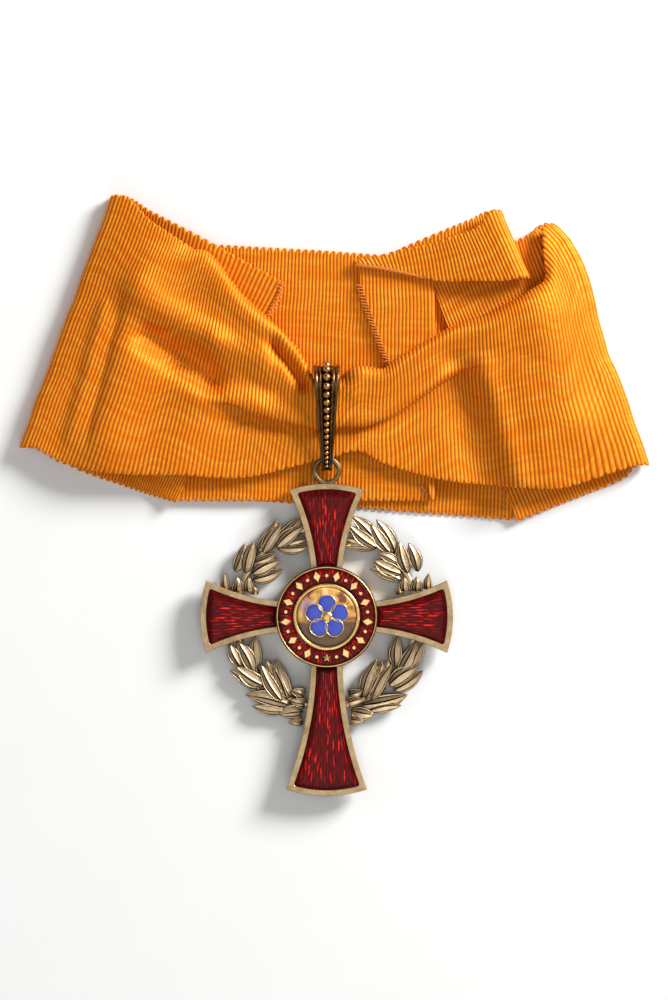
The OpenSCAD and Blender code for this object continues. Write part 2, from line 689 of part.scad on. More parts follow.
// The strap, a row for each line across it: top edge x and y, bottom edge x and y
strap_back_rows = [
    [0.45, 0.735, 0.46, 0.55],
    [0.56, 0.775, 0.60, 0.55]
];
strap_fold = [0.68, 0.81, 0.79, 0.55];
strap_front_rows = [
    [0.60, 0.765, 0.69, 0.54],
    [0.52, 0.73, 0.58, 0.54],
    [0.41, 0.70, 0.44, 0.54],
    [0.29, 0.66, 0.31, 0.57],
    [0.19, 0.63, 0.21, 0.59],
    [0.11, 0.62, 0.12, 0.605]
];
strap_places = 4;
function flat_line(row, n) = [for (j = [0:strap_places - 1])
    let (p = row_place(row, j / (strap_places - 1))) [p.x, p.y, ply_z(n)]];
module strap_loop() {
    color(orange_silk) walled_sheet(concat(
        [for (row = strap_back_rows) flat_line(row, 2)],
        [for (i = [4:-1:0]) turn_lines(strap_fold, 1, ply_z(3), ply_z(2), strap_places)[i]],
        [for (row = strap_front_rows) flat_line(row, 3)]
    ), ribbon_t);
}

cross_frame();
enamel_arm(TOP);  // enamel_arm_top
enamel_arm(LEFT);  // enamel_arm_left
enamel_arm(RIGHT);  // enamel_arm_right
enamel_arm(BOTTOM);  // enamel_arm_bottom
laurel_wreath();
medallion_frame();
medallion_ring_enamel();
medallion_ornaments();
medallion_centre_enamel();
centre_flower();
reverse_medallion();
suspension_bail();
ribbon_band();
back_panel_left();
back_panel_right();
strap_loop();
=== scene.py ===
"""Looks of an order neck badge: an enamelled cross in a laurel wreath under its folded silk ribbon."""

import math
from collections import namedtuple

import bpy
import numpy as np
from bpy.props import FloatProperty, FloatVectorProperty, IntProperty, PointerProperty, StringProperty
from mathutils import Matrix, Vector


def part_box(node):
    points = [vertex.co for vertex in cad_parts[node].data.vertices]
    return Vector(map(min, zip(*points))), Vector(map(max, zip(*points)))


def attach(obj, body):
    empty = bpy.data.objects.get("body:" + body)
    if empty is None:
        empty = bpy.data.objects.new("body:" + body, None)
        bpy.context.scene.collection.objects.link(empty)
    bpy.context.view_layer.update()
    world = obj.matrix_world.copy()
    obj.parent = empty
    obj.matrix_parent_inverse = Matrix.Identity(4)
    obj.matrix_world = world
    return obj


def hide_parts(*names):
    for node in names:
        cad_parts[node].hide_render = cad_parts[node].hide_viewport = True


bl_info = {
    "name": "Order Neck Badge",
    "version": (1, 0, 0),
    "blender": (4, 5, 0),
    "location": "View3D > Sidebar > Badge",
    "description": "Builds the silk, enamel and gilt of an order neck badge around its construction",
    "category": "Add Mesh",
}

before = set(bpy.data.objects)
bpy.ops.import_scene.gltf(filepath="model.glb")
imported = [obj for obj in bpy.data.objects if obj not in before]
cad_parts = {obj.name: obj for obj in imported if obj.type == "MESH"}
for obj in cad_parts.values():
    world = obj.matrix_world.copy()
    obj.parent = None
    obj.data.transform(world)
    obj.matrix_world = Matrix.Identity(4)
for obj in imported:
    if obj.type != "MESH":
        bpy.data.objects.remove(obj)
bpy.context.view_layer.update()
MM = 0.001


class RibbonSettings(bpy.types.PropertyGroup):
    """Sizes and colours of the silk ribbon."""

    width: FloatProperty(
        name="Width", description="Width of the ribbon", default=56 * MM, unit="LENGTH"
    )
    cloth_t: FloatProperty(
        name="Cloth", description="Thickness of the silk between its ribs", default=0.5 * MM, unit="LENGTH"
    )
    loft: FloatProperty(
        name="Loft", description="Rise of the front over its lowest ply", default=4 * MM, unit="LENGTH"
    )
    rib_pitch: FloatProperty(
        name="Rib pitch", description="Distance from rib to rib", default=0.8 * MM, unit="LENGTH"
    )
    rib_relief: FloatProperty(
        name="Rib relief", description="Height of a rib over its cloth", default=0.1 * MM, unit="LENGTH"
    )
    scallop: FloatProperty(
        name="Scallop", description="Depth of the looped edge", default=0.7 * MM, unit="LENGTH"
    )
    # A rib's crest colour, and the darker valley colour that is painted shade between the ribs
    light: StringProperty(name="Rib crest", description="sRGB hex of a rib's crest", default="#f67e0e")
    deep: StringProperty(name="Rib valley", description="sRGB hex between two ribs", default="#983003")


class CrossSettings(bpy.types.PropertyGroup):
    """Sizes and colours of the cross and its medallion."""

    bevel: FloatProperty(
        name="Bevel", description="Width of the rims' bevel", default=0.12 * MM, unit="LENGTH"
    )
    crown: FloatProperty(
        name="Crown", description="Rise of the enamel over the rims", default=0.3 * MM, unit="LENGTH"
    )
    gilt: StringProperty(name="Gilt", description="sRGB hex of worn silver gilt", default="#c8ab80")
    bright_gold: StringProperty(
        name="Bright gold", description="sRGB hex of polished gold", default="#f0cc84"
    )
    red: StringProperty(
        name="Red enamel", description="sRGB hex of the translucent red", default="#c8120c"
    )
    blue: StringProperty(
        name="Blue enamel", description="sRGB hex of the flower's petals", default="#3a4cc4"
    )
    amber: StringProperty(
        name="Amber enamel", description="sRGB hex of the centre's ground", default="#d79a45"
    )


class WreathSettings(bpy.types.PropertyGroup):
    """Sizes of the laurel wreath."""

    radius: FloatProperty(
        name="Radius", description="Radius of the stem", default=19.8 * MM, unit="LENGTH"
    )
    leaf_w: FloatProperty(
        name="Leaf width", description="Width of a full leaf", default=3 * MM, unit="LENGTH"
    )
    leaf_t: FloatProperty(
        name="Leaf edge", description="Thickness of a leaf at its edge", default=0.5 * MM, unit="LENGTH"
    )
    rib_h: FloatProperty(
        name="Leaf rib", description="Height of a leaf's rib over its edge", default=0.6 * MM, unit="LENGTH"
    )


class BailSettings(bpy.types.PropertyGroup):
    """Sizes and colours of the suspension bail."""

    bead_d: FloatProperty(
        name="Bead", description="Diameter of the largest bead", default=1.9 * MM, unit="LENGTH"
    )
    bead_count: IntProperty(name="Beads", description="Number of beads", default=17, min=2)
    dark: StringProperty(
        name="Oxidised gilt", description="sRGB hex of the dark channels", default="#84603a"
    )


class StageSettings(bpy.types.PropertyGroup):
    """The floor, the lights and the camera."""

    view_h: FloatProperty(
        name="View height", description="Height of the frame", default=220 * MM, unit="LENGTH"
    )
    camera_h: FloatProperty(
        name="Camera height", description="Height of the camera over the floor", default=1.4, unit="LENGTH"
    )
    centre: FloatVectorProperty(
        name="Centre",
        description="Point of the floor under the camera",
        size=2,
        default=(1.6 * MM, 25.6 * MM),
        unit="LENGTH",
    )
    floor: StringProperty(name="Floor", description="sRGB hex of the floor", default="#f4f4f2")


def linear(hex_colour):
    """An sRGB hex colour as linear RGBA."""
    parts = [int(hex_colour[i : i + 2], 16) / 255 for i in (1, 3, 5)]
    return (*[c / 12.92 if c <= 0.04045 else ((c + 0.055) / 1.055) ** 2.4 for c in parts], 1.0)


def feed(node, links):
    """Gives each input a value, or joins it to an output or to a node's first output."""
    for socket, value in links.items():
        if isinstance(value, bpy.types.Node):
            value = value.outputs[0]
        if isinstance(value, bpy.types.NodeSocket):
            node.id_data.links.new(value, node.inputs[socket])
        else:
            node.inputs[socket].default_value = value


def add(tree, kind, links=None, **settings):
    """Adds a node with its settings and links. Inputs go by name, or by number where names repeat."""
    node = tree.nodes.new(kind)
    for key, value in settings.items():
        setattr(node, key, value)
    feed(node, links or {})
    return node


def new_material(name, **numbers):
    """A material with one Principled shader, whose even values are set on its own sockets."""
    material = bpy.data.materials.new(name)
    material.use_nodes = True
    tree = material.node_tree
    shader = tree.nodes["Principled BSDF"]
    feed(shader, {key.replace("_", " "): value for key, value in numbers.items()})
    return material, tree, shader


def ribbed_silk(ribbon):
    """Faille silk: round weft ribs under fine warp threads, which give a soft sheen and watered bands."""
    material, tree, shader = new_material(
        "ribbed_faille_silk",
        Roughness=0.5,
        IOR=1.5,
        Specular_IOR_Level=0.22,
        Specular_Tint=linear("#ffb860"),
        Sheen_Weight=0.08,
        Sheen_Roughness=0.4,
        Sheen_Tint=linear("#ffc880"),
    )
    weave = add(tree, "ShaderNodeUVMap", uv_map="weave")
    along = add(tree, "ShaderNodeSeparateXYZ", {"Vector": weave})
    # One rib a turn: 0 at a crest, 1 in a valley, where the darker colour is painted shade between the ribs
    turn = add(tree, "ShaderNodeMath", {0: along.outputs["X"], 1: math.tau}, operation="MULTIPLY")
    wave = add(tree, "ShaderNodeMath", {0: turn}, operation="COSINE")
    valley = add(tree, "ShaderNodeMapRange", {"Value": wave, "From Min": 0.5, "From Max": -1.0})
    # Watered bands run along the ribbon, a few ribs long and about 3 mm apart
    water_place = add(tree, "ShaderNodeMapping", {"Vector": weave, "Scale": (0.07, 0.55, 1.0)})
    water = add(
        tree,
        "ShaderNodeTexNoise",
        {"Vector": water_place, "Scale": 1.0, "Detail": 4.0, "Roughness": 0.65},
    )
    watered = add(tree, "ShaderNodeMapRange", {"Value": water, "From Min": 0.42, "From Max": 0.66})
    # Threads that cross the ribs, drawn 0.25 mm apart so that they show
    thread_place = add(tree, "ShaderNodeMapping", {"Vector": weave, "Scale": (1.3, 4.0, 1.0)})
    thread = add(
        tree,
        "ShaderNodeTexNoise",
        {"Vector": thread_place, "Scale": 1.0, "Detail": 2.0, "Roughness": 0.7},
    )
    crest = add(
        tree,
        "ShaderNodeMix",
        {0: watered, 6: linear(ribbon.light), 7: linear("#ffa834")},
        data_type="RGBA",
    )
    # Painted shade: the silk darkens to the valley colour between its ribs
    ribs = add(
        tree, "ShaderNodeMix", {0: valley, 6: crest.outputs[2], 7: linear(ribbon.deep)}, data_type="RGBA"
    )
    fleck = add(
        tree,
        "ShaderNodeMapRange",
        {"Value": thread, "From Min": 0.3, "From Max": 0.7, "To Min": 0.86, "To Max": 1.1},
    )
    tone = add(
        tree,
        "ShaderNodeMix",
        {0: 1.0, 6: ribs.outputs[2], 7: fleck},
        data_type="RGBA",
        blend_type="MULTIPLY",
    )
    bump = add(tree, "ShaderNodeBump", {"Strength": 0.25, "Distance": 0.06 * MM, "Height": thread})
    feed(shader, {"Base Color": tone.outputs[2], "Normal": bump})
    # The filaments' lustre: golden where the cloth faces the light
    lustre = add(
        tree, "ShaderNodeBsdfAnisotropic", {"Color": linear("#ffa634"), "Roughness": 0.52, "Normal": bump}
    )
    both = add(tree, "ShaderNodeMixShader", {0: 0.22, 1: shader, 2: lustre})
    feed(tree.nodes["Material Output"], {"Surface": both})
    return material


def sewing_thread():
    """Twisted orange sewing thread."""
    material, tree, shader = new_material("orange_sewing_thread", Roughness=0.6)
    place = add(tree, "ShaderNodeTexCoord")
    twist = add(
        tree,
        "ShaderNodeTexNoise",
        {"Vector": place.outputs["Object"], "Scale": 1 / (0.4 * MM), "Detail": 2.0, "Roughness": 0.6},
    )
    base = add(
        tree, "ShaderNodeMix", {0: twist, 6: linear("#b04a0a"), 7: linear("#ffa63c")}, data_type="RGBA"
    )
    feed(shader, {"Base Color": base.outputs[2]})
    return material


def worn_gilt(name, colour, dark, patina, rough, grain=0.2):
    """Cast silver gilt: a soft metal lustre, rubbed pale on the edges, with dark patina in its hollows and
    painted shade where a piece darkens its points.
    """
    material, tree, shader = new_material(name, Metallic=1.0, Roughness=rough)
    place = add(tree, "ShaderNodeTexCoord")
    # Each piece's darkening: patina in the hollows of the cross and the bail, painted shade on the leaves
    # and the collet
    patina_and_shade = add(tree, "ShaderNodeAttribute", attribute_name="patina_and_shade")
    cloud = add(
        tree,
        "ShaderNodeTexNoise",
        {"Vector": place.outputs["Object"], "Scale": 1 / (3 * MM), "Detail": 5.0, "Roughness": 0.65},
    )
    fine = add(
        tree,
        "ShaderNodeTexNoise",
        {"Vector": place.outputs["Object"], "Scale": 1 / (0.5 * MM), "Detail": 3.0, "Roughness": 0.6},
    )
    spots = add(
        tree, "ShaderNodeMapRange", {"Value": cloud, "From Min": 0.42, "From Max": 0.72, "To Max": patina}
    )
    tarnish_and_shade = add(
        tree, "ShaderNodeMath", {0: spots, 1: patina_and_shade.outputs["Fac"]}, operation="ADD", use_clamp=True
    )
    base = add(tree, "ShaderNodeMix", {0: tarnish_and_shade, 6: linear(colour), 7: linear(dark)}, data_type="RGBA")
    sheen = add(
        tree,
        "ShaderNodeMapRange",
        {"Value": fine, "From Min": 0.3, "From Max": 0.7, "To Min": rough * 0.8, "To Max": rough * 1.4},
    )
    bump = add(tree, "ShaderNodeBump", {"Strength": grain, "Distance": 0.03 * MM, "Height": fine})
    feed(shader, {"Base Color": base.outputs[2], "Roughness": sheen, "Normal": bump})
    return material


def engraved_enamel(name, colour, dark):
    """Translucent enamel over engine-turned metal: bricks of cut lines under a hard clear surface, their
    flashes painted as glints.
    """
    material, tree, shader = new_material(
        name,
        Metallic=0.15,
        Roughness=0.5,
        Specular_IOR_Level=0.02,
        Coat_Weight=0.22,
        Coat_Roughness=0.08,
        Coat_IOR=1.4,
    )
    cuts = add(tree, "ShaderNodeUVMap", uv_map="engraving")
    split = add(tree, "ShaderNodeSeparateXYZ", {"Vector": cuts})
    # Each cut wanders a little along its length
    swing = add(
        tree, "ShaderNodeTexNoise", {"Vector": cuts, "Scale": 0.9, "Detail": 3.0, "Roughness": 0.6}
    )
    swung = add(
        tree, "ShaderNodeMath", {0: swing, 1: 1.6, 2: split.outputs["X"]}, operation="MULTIPLY_ADD"
    )
    line = add(tree, "ShaderNodeMath", {0: swung}, operation="FLOOR")
    across = add(tree, "ShaderNodeMath", {0: swung}, operation="FRACT")
    shift = add(tree, "ShaderNodeTexWhiteNoise", {"W": line}, noise_dimensions="1D")
    # Bricks start at a different place in each line
    run = add(tree, "ShaderNodeMath", {0: shift, 1: 7.0, 2: split.outputs["Y"]}, operation="MULTIPLY_ADD")
    part = add(tree, "ShaderNodeMath", {0: run}, operation="FLOOR")
    length = add(tree, "ShaderNodeMath", {0: run}, operation="FRACT")
    cell = add(tree, "ShaderNodeCombineXYZ", {"X": line, "Y": part})
    chance = add(tree, "ShaderNodeTexWhiteNoise", {"Vector": cell}, noise_dimensions="2D")
    # A fine thread of painted glint lies along the middle of some cuts and fades at both its ends
    middle = add(tree, "ShaderNodeMath", {0: across, 1: 0.5}, operation="PINGPONG")
    thread = add(
        tree,
        "ShaderNodeMapRange",
        {"Value": middle, "From Min": 0.18, "From Max": 0.48},
        interpolation_type="SMOOTHSTEP",
    )
    fade = add(tree, "ShaderNodeMath", {0: length, 1: 0.5}, operation="PINGPONG")
    dash = add(tree, "ShaderNodeMapRange", {"Value": fade, "From Min": 0.02, "From Max": 0.3})
    strong = add(
        tree,
        "ShaderNodeMapRange",
        {"Value": chance, "From Min": 0.1, "From Max": 1.0, "To Min": 0.1, "To Max": 0.8},
    )
    drawn = add(tree, "ShaderNodeMath", {0: thread, 1: dash}, operation="MULTIPLY")
    flash = add(tree, "ShaderNodeMath", {0: drawn, 1: strong}, operation="MULTIPLY")
    cloud = add(
        tree, "ShaderNodeTexNoise", {"Vector": cuts, "Scale": 1.7, "Detail": 3.0, "Roughness": 0.6}
    )
    body = add(
        tree,
        "ShaderNodeMapRange",
        {"Value": cloud, "From Min": 0.3, "From Max": 0.7, "To Min": 0.04, "To Max": 0.22},
    )
    lit = add(tree, "ShaderNodeMath", {0: flash, 1: body}, operation="ADD")
    # Painted shade: the enamel goes dark where a piece darkens its points, at the rims and the ends
    edge = add(tree, "ShaderNodeAttribute", attribute_name="patina_and_shade")
    inner = add(
        tree, "ShaderNodeMath", {0: 1.0, 1: edge.outputs["Fac"]}, operation="SUBTRACT", use_clamp=True
    )
    share = add(tree, "ShaderNodeMath", {0: lit, 1: inner}, operation="MULTIPLY")
    # From dark through the enamel's red to a bright painted glint
    base = add(tree, "ShaderNodeValToRGB", {0: share})
    base.color_ramp.elements[0].color = linear(dark)
    base.color_ramp.elements[1].color = linear("#ff3a24")
    base.color_ramp.elements.new(0.3).color = linear("#700a08")
    base.color_ramp.elements.new(0.62).color = linear(colour)
    hump = add(tree, "ShaderNodeMath", {0: across, 1: math.pi}, operation="MULTIPLY")
    round_cut = add(tree, "ShaderNodeMath", {0: hump}, operation="SINE")
    bump = add(tree, "ShaderNodeBump", {"Strength": 0.3, "Distance": 0.08 * MM, "Height": round_cut})
    feed(shader, {"Base Color": base, "Normal": bump})
    return material


def painted_ground(cross):
    """Painted enamel of the centre: amber above, brown earth below and a blue bloom at the left."""
    material, tree, shader = new_material(
        "painted_centre_enamel", Roughness=0.4, Coat_Weight=0.25, Coat_Roughness=0.05, Coat_IOR=1.4
    )
    place = add(tree, "ShaderNodeTexCoord")
    axes = add(tree, "ShaderNodeSeparateXYZ", {"Vector": place.outputs["Object"]})
    cloud = add(
        tree,
        "ShaderNodeTexNoise",
        {"Vector": place.outputs["Object"], "Scale": 1 / (4 * MM), "Detail": 5.0, "Roughness": 0.6},
    )
    swirl = add(
        tree,
        "ShaderNodeTexNoise",
        {
            "Vector": place.outputs["Object"],
            "Scale": 1 / (5 * MM),
            "Detail": 4.0,
            "Roughness": 0.55,
            "Distortion": 1.6,
        },
    )
    earth_noise = add(
        tree,
        "ShaderNodeTexNoise",
        {"Vector": place.outputs["Object"], "Scale": 1 / (1.1 * MM), "Detail": 4.0, "Roughness": 0.7},
    )
    sky = add(tree, "ShaderNodeValToRGB", {0: swirl})
    sky.color_ramp.elements[0].position = 0.36
    sky.color_ramp.elements[0].color = linear("#7a3a12")
    sky.color_ramp.elements[1].position = 0.64
    sky.color_ramp.elements[1].color = linear("#f8d08a")
    sky.color_ramp.elements.new(0.46).color = linear(cross.amber)
    horizon = add(
        tree, "ShaderNodeMath", {0: cloud, 1: 2.2 * MM, 2: axes.outputs["Y"]}, operation="MULTIPLY_ADD"
    )
    below = add(
        tree, "ShaderNodeMapRange", {"Value": horizon, "From Min": 0.6 * MM, "From Max": -0.4 * MM}
    )
    earth = add(
        tree,
        "ShaderNodeMix",
        {0: earth_noise, 6: linear("#2e1a0e"), 7: linear("#7c5630")},
        data_type="RGBA",
    )
    ground = add(tree, "ShaderNodeMix", {0: below, 6: sky, 7: earth.outputs[2]}, data_type="RGBA")
    centre = add(
        tree,
        "ShaderNodeVectorMath",
        {0: place.outputs["Object"], 1: (-4.2 * MM, 2.4 * MM, 6.4 * MM)},
        operation="DISTANCE",
    )
    bloom = add(
        tree,
        "ShaderNodeMath",
        {0: cloud, 1: 3.0 * MM, 2: centre.outputs["Value"]},
        operation="MULTIPLY_ADD",
    )
    near = add(
        tree,
        "ShaderNodeMapRange",
        {"Value": bloom, "From Min": 3.6 * MM, "From Max": 1.4 * MM, "To Max": 0.9},
    )
    tint = add(
        tree,
        "ShaderNodeMix",
        {0: earth_noise, 6: linear("#2c4cc0"), 7: linear("#8a4f9c")},
        data_type="RGBA",
    )
    final = add(
        tree, "ShaderNodeMix", {0: near, 6: ground.outputs[2], 7: tint.outputs[2]}, data_type="RGBA"
    )
    bump = add(tree, "ShaderNodeBump", {"Strength": 0.4, "Distance": 0.08 * MM, "Height": earth_noise})
    feed(shader, {"Base Color": final.outputs[2], "Normal": bump})
    return material


def clear_enamel(name, colour, deep):
    """Hard glossy enamel, slightly cloudy, with a clear surface."""
    material, tree, shader = new_material(name, Roughness=0.45, Coat_Weight=0.3, Coat_Roughness=0.06)
    place = add(tree, "ShaderNodeTexCoord")
    cloud = add(
        tree,
        "ShaderNodeTexNoise",
        {"Vector": place.outputs["Object"], "Scale": 1 / (1.5 * MM), "Detail": 3.0, "Roughness": 0.5},
    )
    base = add(tree, "ShaderNodeMix", {0: cloud, 6: linear(colour), 7: linear(deep)}, data_type="RGBA")
    feed(shader, {"Base Color": base.outputs[2]})
    return material


def paper_floor(stage):
    """Matt white paper with a trace of unevenness."""
    material, tree, shader = new_material("matt_white_paper", Roughness=0.9, Specular_IOR_Level=0.1)
    place = add(tree, "ShaderNodeTexCoord")
    grain = add(
        tree,
        "ShaderNodeTexNoise",
        {"Vector": place.outputs["Object"], "Scale": 1 / (25 * MM), "Detail": 2.0, "Roughness": 0.5},
    )
    base = add(
        tree, "ShaderNodeMix", {0: grain, 6: linear(stage.floor), 7: linear("#f7f7f6")}, data_type="RGBA"
    )
    feed(shader, {"Base Color": base.outputs[2]})
    return material


_materials = {}


def materials():
    """The finishes, made once."""
    if not _materials:
        scene = bpy.context.scene
        cross = scene.badge_cross
        _materials.update(
            silk=ribbed_silk(scene.badge_ribbon),
            thread=sewing_thread(),
            gilt=worn_gilt("worn_silver_gilt", cross.gilt, "#6a5636", 0.55, 0.4, 0.12),
            leaf_gilt=worn_gilt("cast_silver_gilt", "#ffdfb2", "#2c1608", 0.2, 0.34, 0.04),
            bright_gold=worn_gilt("polished_gold", cross.bright_gold, "#6a4824", 0.15, 0.3, 0.04),
            dark_gilt=worn_gilt("oxidised_gilt", scene.badge_bail.dark, "#140d09", 0.6, 0.3),
            bead_gold=worn_gilt("rubbed_bead_gold", "#d09a5c", "#3a2210", 0.5, 0.3),
            red=engraved_enamel("engraved_red_enamel", cross.red, "#330508"),
            amber=painted_ground(cross),
            blue=clear_enamel("opaque_blue_enamel", cross.blue, "#24359a"),
        )
    return _materials


def new_piece(name, points, faces, material, uv=None, uv_name="weave", patina_and_shade=None, smooth=True):
    """A mesh object from points in metres. uv and hollow are given for each point."""
    mesh = bpy.data.meshes.new(name)
    mesh.from_pydata(np.asarray(points, float).tolist(), [], [list(map(int, f)) for f in faces])
    if uv is not None:
        layer = mesh.uv_layers.new(name=uv_name)
        corners = np.zeros(len(mesh.loops), np.int32)
        mesh.loops.foreach_get("vertex_index", corners)
        layer.data.foreach_set("uv", np.asarray(uv, np.float32)[corners].ravel())
    if patina_and_shade is not None:
        attribute = mesh.attributes.new("patina_and_shade", "FLOAT", "POINT")
        attribute.data.foreach_set("value", np.asarray(patina_and_shade, np.float32))
    mesh.polygons.foreach_set("use_smooth", [smooth] * len(mesh.polygons))
    mesh.materials.append(material)
    piece = bpy.data.objects.new(name, mesh)
    bpy.context.scene.collection.objects.link(piece)
    return piece


def seat(piece, slot, *nodes):
    """The piece rides on the badge and stands for its nodes; its slot is not used."""
    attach(piece, "root")
    if nodes:
        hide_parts(*nodes)
    return piece


def lerp(a, b, t):
    """The value a share t of the way from a to b."""
    return a + (b - a) * t


def ease(t):
    """A share from 0 to 1 with a soft start and a soft end."""
    t = np.clip(t, 0, 1)
    return t * t * (3 - 2 * t)


def hermite(points, places, at):
    """A smooth curve through points, whose first axis lies at places, read at the places in at."""
    tangents = np.gradient(points, places, axis=0)
    i = np.clip(np.searchsorted(places, at, side="right") - 1, 0, len(places) - 2)
    span = places[i + 1] - places[i]
    t = (at - places[i]) / span
    shape = (-1,) + (1,) * (points.ndim - 1)
    t = t.reshape(shape)
    span = span.reshape(shape)
    return (
        (2 * t**3 - 3 * t**2 + 1) * points[i]
        + (t**3 - 2 * t**2 + t) * span * tangents[i]
        + (3 * t**2 - 2 * t**3) * points[i + 1]
        + (t**3 - t**2) * span * tangents[i + 1]
    )


def run_length(points):
    """Distance along a line of points from its first one."""
    steps = np.linalg.norm(np.diff(points, axis=0), axis=-1)
    return np.concatenate([[0.0], np.cumsum(steps)])


def grid_normals(grid):
    """Unit normals of a grid (columns, rows, 3), upwards where the columns run to +X and the rows to -Y."""
    across = np.gradient(grid, axis=0)
    down = np.gradient(grid, axis=1)
    normal = np.cross(down, across)
    return normal / np.maximum(np.linalg.norm(normal, axis=-1, keepdims=True), 1e-12)


def spread(stations):
    """Distance of each line from the first one, measured square to the lines."""
    count = stations.shape[1]
    steps = np.diff(stations[:, [0, count // 4, count // 2, 3 * count // 4, -1]], axis=0)
    along = stations[:, -1] - stations[:, 0]
    along /= np.linalg.norm(along, axis=1, keepdims=True)
    along = (along[1:] + along[:-1])[:, None] / 2
    square = steps - (steps * along).sum(-1, keepdims=True) * along
    return np.concatenate([[0.0], np.cumsum(np.linalg.norm(square, axis=-1).mean(1))])


def shell_faces(m, n):
    """Faces of a closed shell over two grids of m columns and n rows, the upper one first."""
    index = np.arange(m * n).reshape(m, n)
    a, b, c, d = index[:-1, :-1], index[:-1, 1:], index[1:, 1:], index[1:, :-1]
    upper = np.stack([a, b, c, d], -1).reshape(-1, 4)
    lower = np.stack([d, c, b, a], -1).reshape(-1, 4) + m * n
    rim = np.concatenate([index[0, :-1], index[:-1, -1], index[-1, :0:-1], index[:0:-1, 0]])
    ahead = np.roll(rim, -1)
    side = np.stack([ahead, rim, rim + m * n, ahead + m * n], -1)
    return np.concatenate([upper, lower, side])


def tube_faces(turns, around):
    """Faces of a closed ring of turns sections, each of which has as many points around."""
    index = np.arange(turns * around).reshape(turns, around)
    ahead = np.roll(index, -1, axis=0)
    quads = [index, ahead, np.roll(ahead, -1, axis=1), np.roll(index, -1, axis=1)]
    return np.stack(quads, -1).reshape(-1, 4)


def merged(parts):
    """Parts, each given as points and faces, as one array of points and one list of faces."""
    points, faces, count = [], [], 0
    for part_points, part_faces in parts:
        points.append(part_points)
        faces += [[i + count for i in face] for face in part_faces]
        count += len(part_points)
    return np.concatenate(points), faces


def heading(angle):
    """Unit direction at an angle in a plane."""
    return np.array([math.cos(angle), math.sin(angle)])


RIB_COLUMNS = 4
# Rows near an edge, as distances from it
EDGE_ROWS = np.array([0.0, 0.25, 0.6, 1.2]) * MM
# From the edge inwards: where the loops' two ribs run together, and where the cloth has its full thickness
LOOP_CLOSED = 0.45 * MM
EDGE_ROUND = 0.35 * MM
# Reach of a loop's bend in scallops, and lift of a turned hem in thicknesses
LOOP_REACH = 1.5
HEM_LIFT = 0.6
# The lowest ply that a dent presses, and the margin of even rows beside those near an edge
DENT_PLY = 2.4
EDGE_MARGIN = 0.5 * MM
# Unevenness of cloth laid by hand: its rise and its sideways drift
HAND_RISE = 0.12 * MM
HAND_DRIFT = 0.08 * MM


def cloth(name, stations, row_places, ribbon, hems=(), dents=(), raw_after=None):
    """A ribbed cloth with looped edges over stations, an array (lines, places, 3) from end to end.

    row_places are the rows' places along a line, in segments of it. hems are widths of cloth turned
    double at the first and the last line. The far edge is cut, without loops, from the line raw_after."""
    stations = np.asarray(stations, float)
    places = spread(stations)
    ribs = max(2, round(places[-1] / ribbon.rib_pitch / 2) * 2)
    u = np.linspace(0, places[-1], ribs * RIB_COLUMNS + 1)
    lines = hermite(stations, places, u)
    rows = len(row_places) + 2 * len(EDGE_ROWS)
    grid = np.zeros((len(u), rows, 3))
    v = np.zeros((len(u), rows))
    for k, line in enumerate(lines):
        run = run_length(line)
        edge = EDGE_ROWS * min(1, run[-1] / (4 * EDGE_ROWS[-1]))
        inner = np.interp(row_places, np.arange(len(line)), run)
        margin = edge[-1] + EDGE_MARGIN * edge[-1] / EDGE_ROWS[-1]
        inner = margin + inner * (1 - 2 * margin / run[-1])
        v[k] = np.concatenate([edge, inner, run[-1] - edge[::-1]])
        grid[k] = hermite(line, run, v[k])
    turns = u / places[-1] * ribs
    rib = np.abs(np.cos(np.pi * turns))[:, None]
    shape_cloth(grid, dents, ribbon)
    # Loops of thread: each holds two ribs and reaches past the edge
    loop = np.sqrt(np.clip(1 - (2 * ((turns + 0.5) / 2 % 1) - 1) ** 2, 0, 1))[:, None]
    whole = np.ones_like(loop)
    if raw_after is not None:
        whole = (u < places[raw_after])[:, None].astype(float)
    relief = np.broadcast_to(2 * rib - 1, v.shape).copy()
    for end in (0, -1):
        keep = whole if end else np.ones_like(loop)
        out = grid[:, end] - grid[:, 2 if end == 0 else -3]
        out /= np.maximum(np.linalg.norm(out, axis=-1, keepdims=True), 1e-9)
        near = np.abs(v - v[:, [end]])
        reach = np.clip(1 - near / (LOOP_REACH * ribbon.scallop), 0, 1) * keep
        grid += out[:, None] * (reach * (loop - 0.5) * ribbon.scallop)[..., None]
        closed = np.clip(1.3 - near / LOOP_CLOSED, 0, 1) * keep
        relief = lerp(relief, 2 * loop - 1, closed)
    normal = grid_normals(grid)
    half = ribbon.cloth_t / 2 + ribbon.rib_relief * relief
    edge = np.minimum(v, v[:, [-1]] - v)
    half = half * (0.5 + 0.5 * np.clip(edge / EDGE_ROUND, 0, 1))
    lift = np.zeros_like(u)
    for end, hem in zip((0, -1), hems):
        lift = np.where(np.abs(u - u[end]) < hem, HEM_LIFT * ribbon.cloth_t, lift)
    upper = grid + normal * (half + lift[:, None])[..., None]
    lower = grid - normal * half[..., None]
    uv = np.stack([np.broadcast_to(turns[:, None], v.shape), v / ribbon.rib_pitch], -1)
    points = np.concatenate([upper.reshape(-1, 3), lower.reshape(-1, 3)])
    uvs = np.concatenate([uv.reshape(-1, 2)] * 2)
    piece = new_piece(name, points, shell_faces(len(u), rows), materials()["silk"], uv=uvs)
    return piece, places[-1]


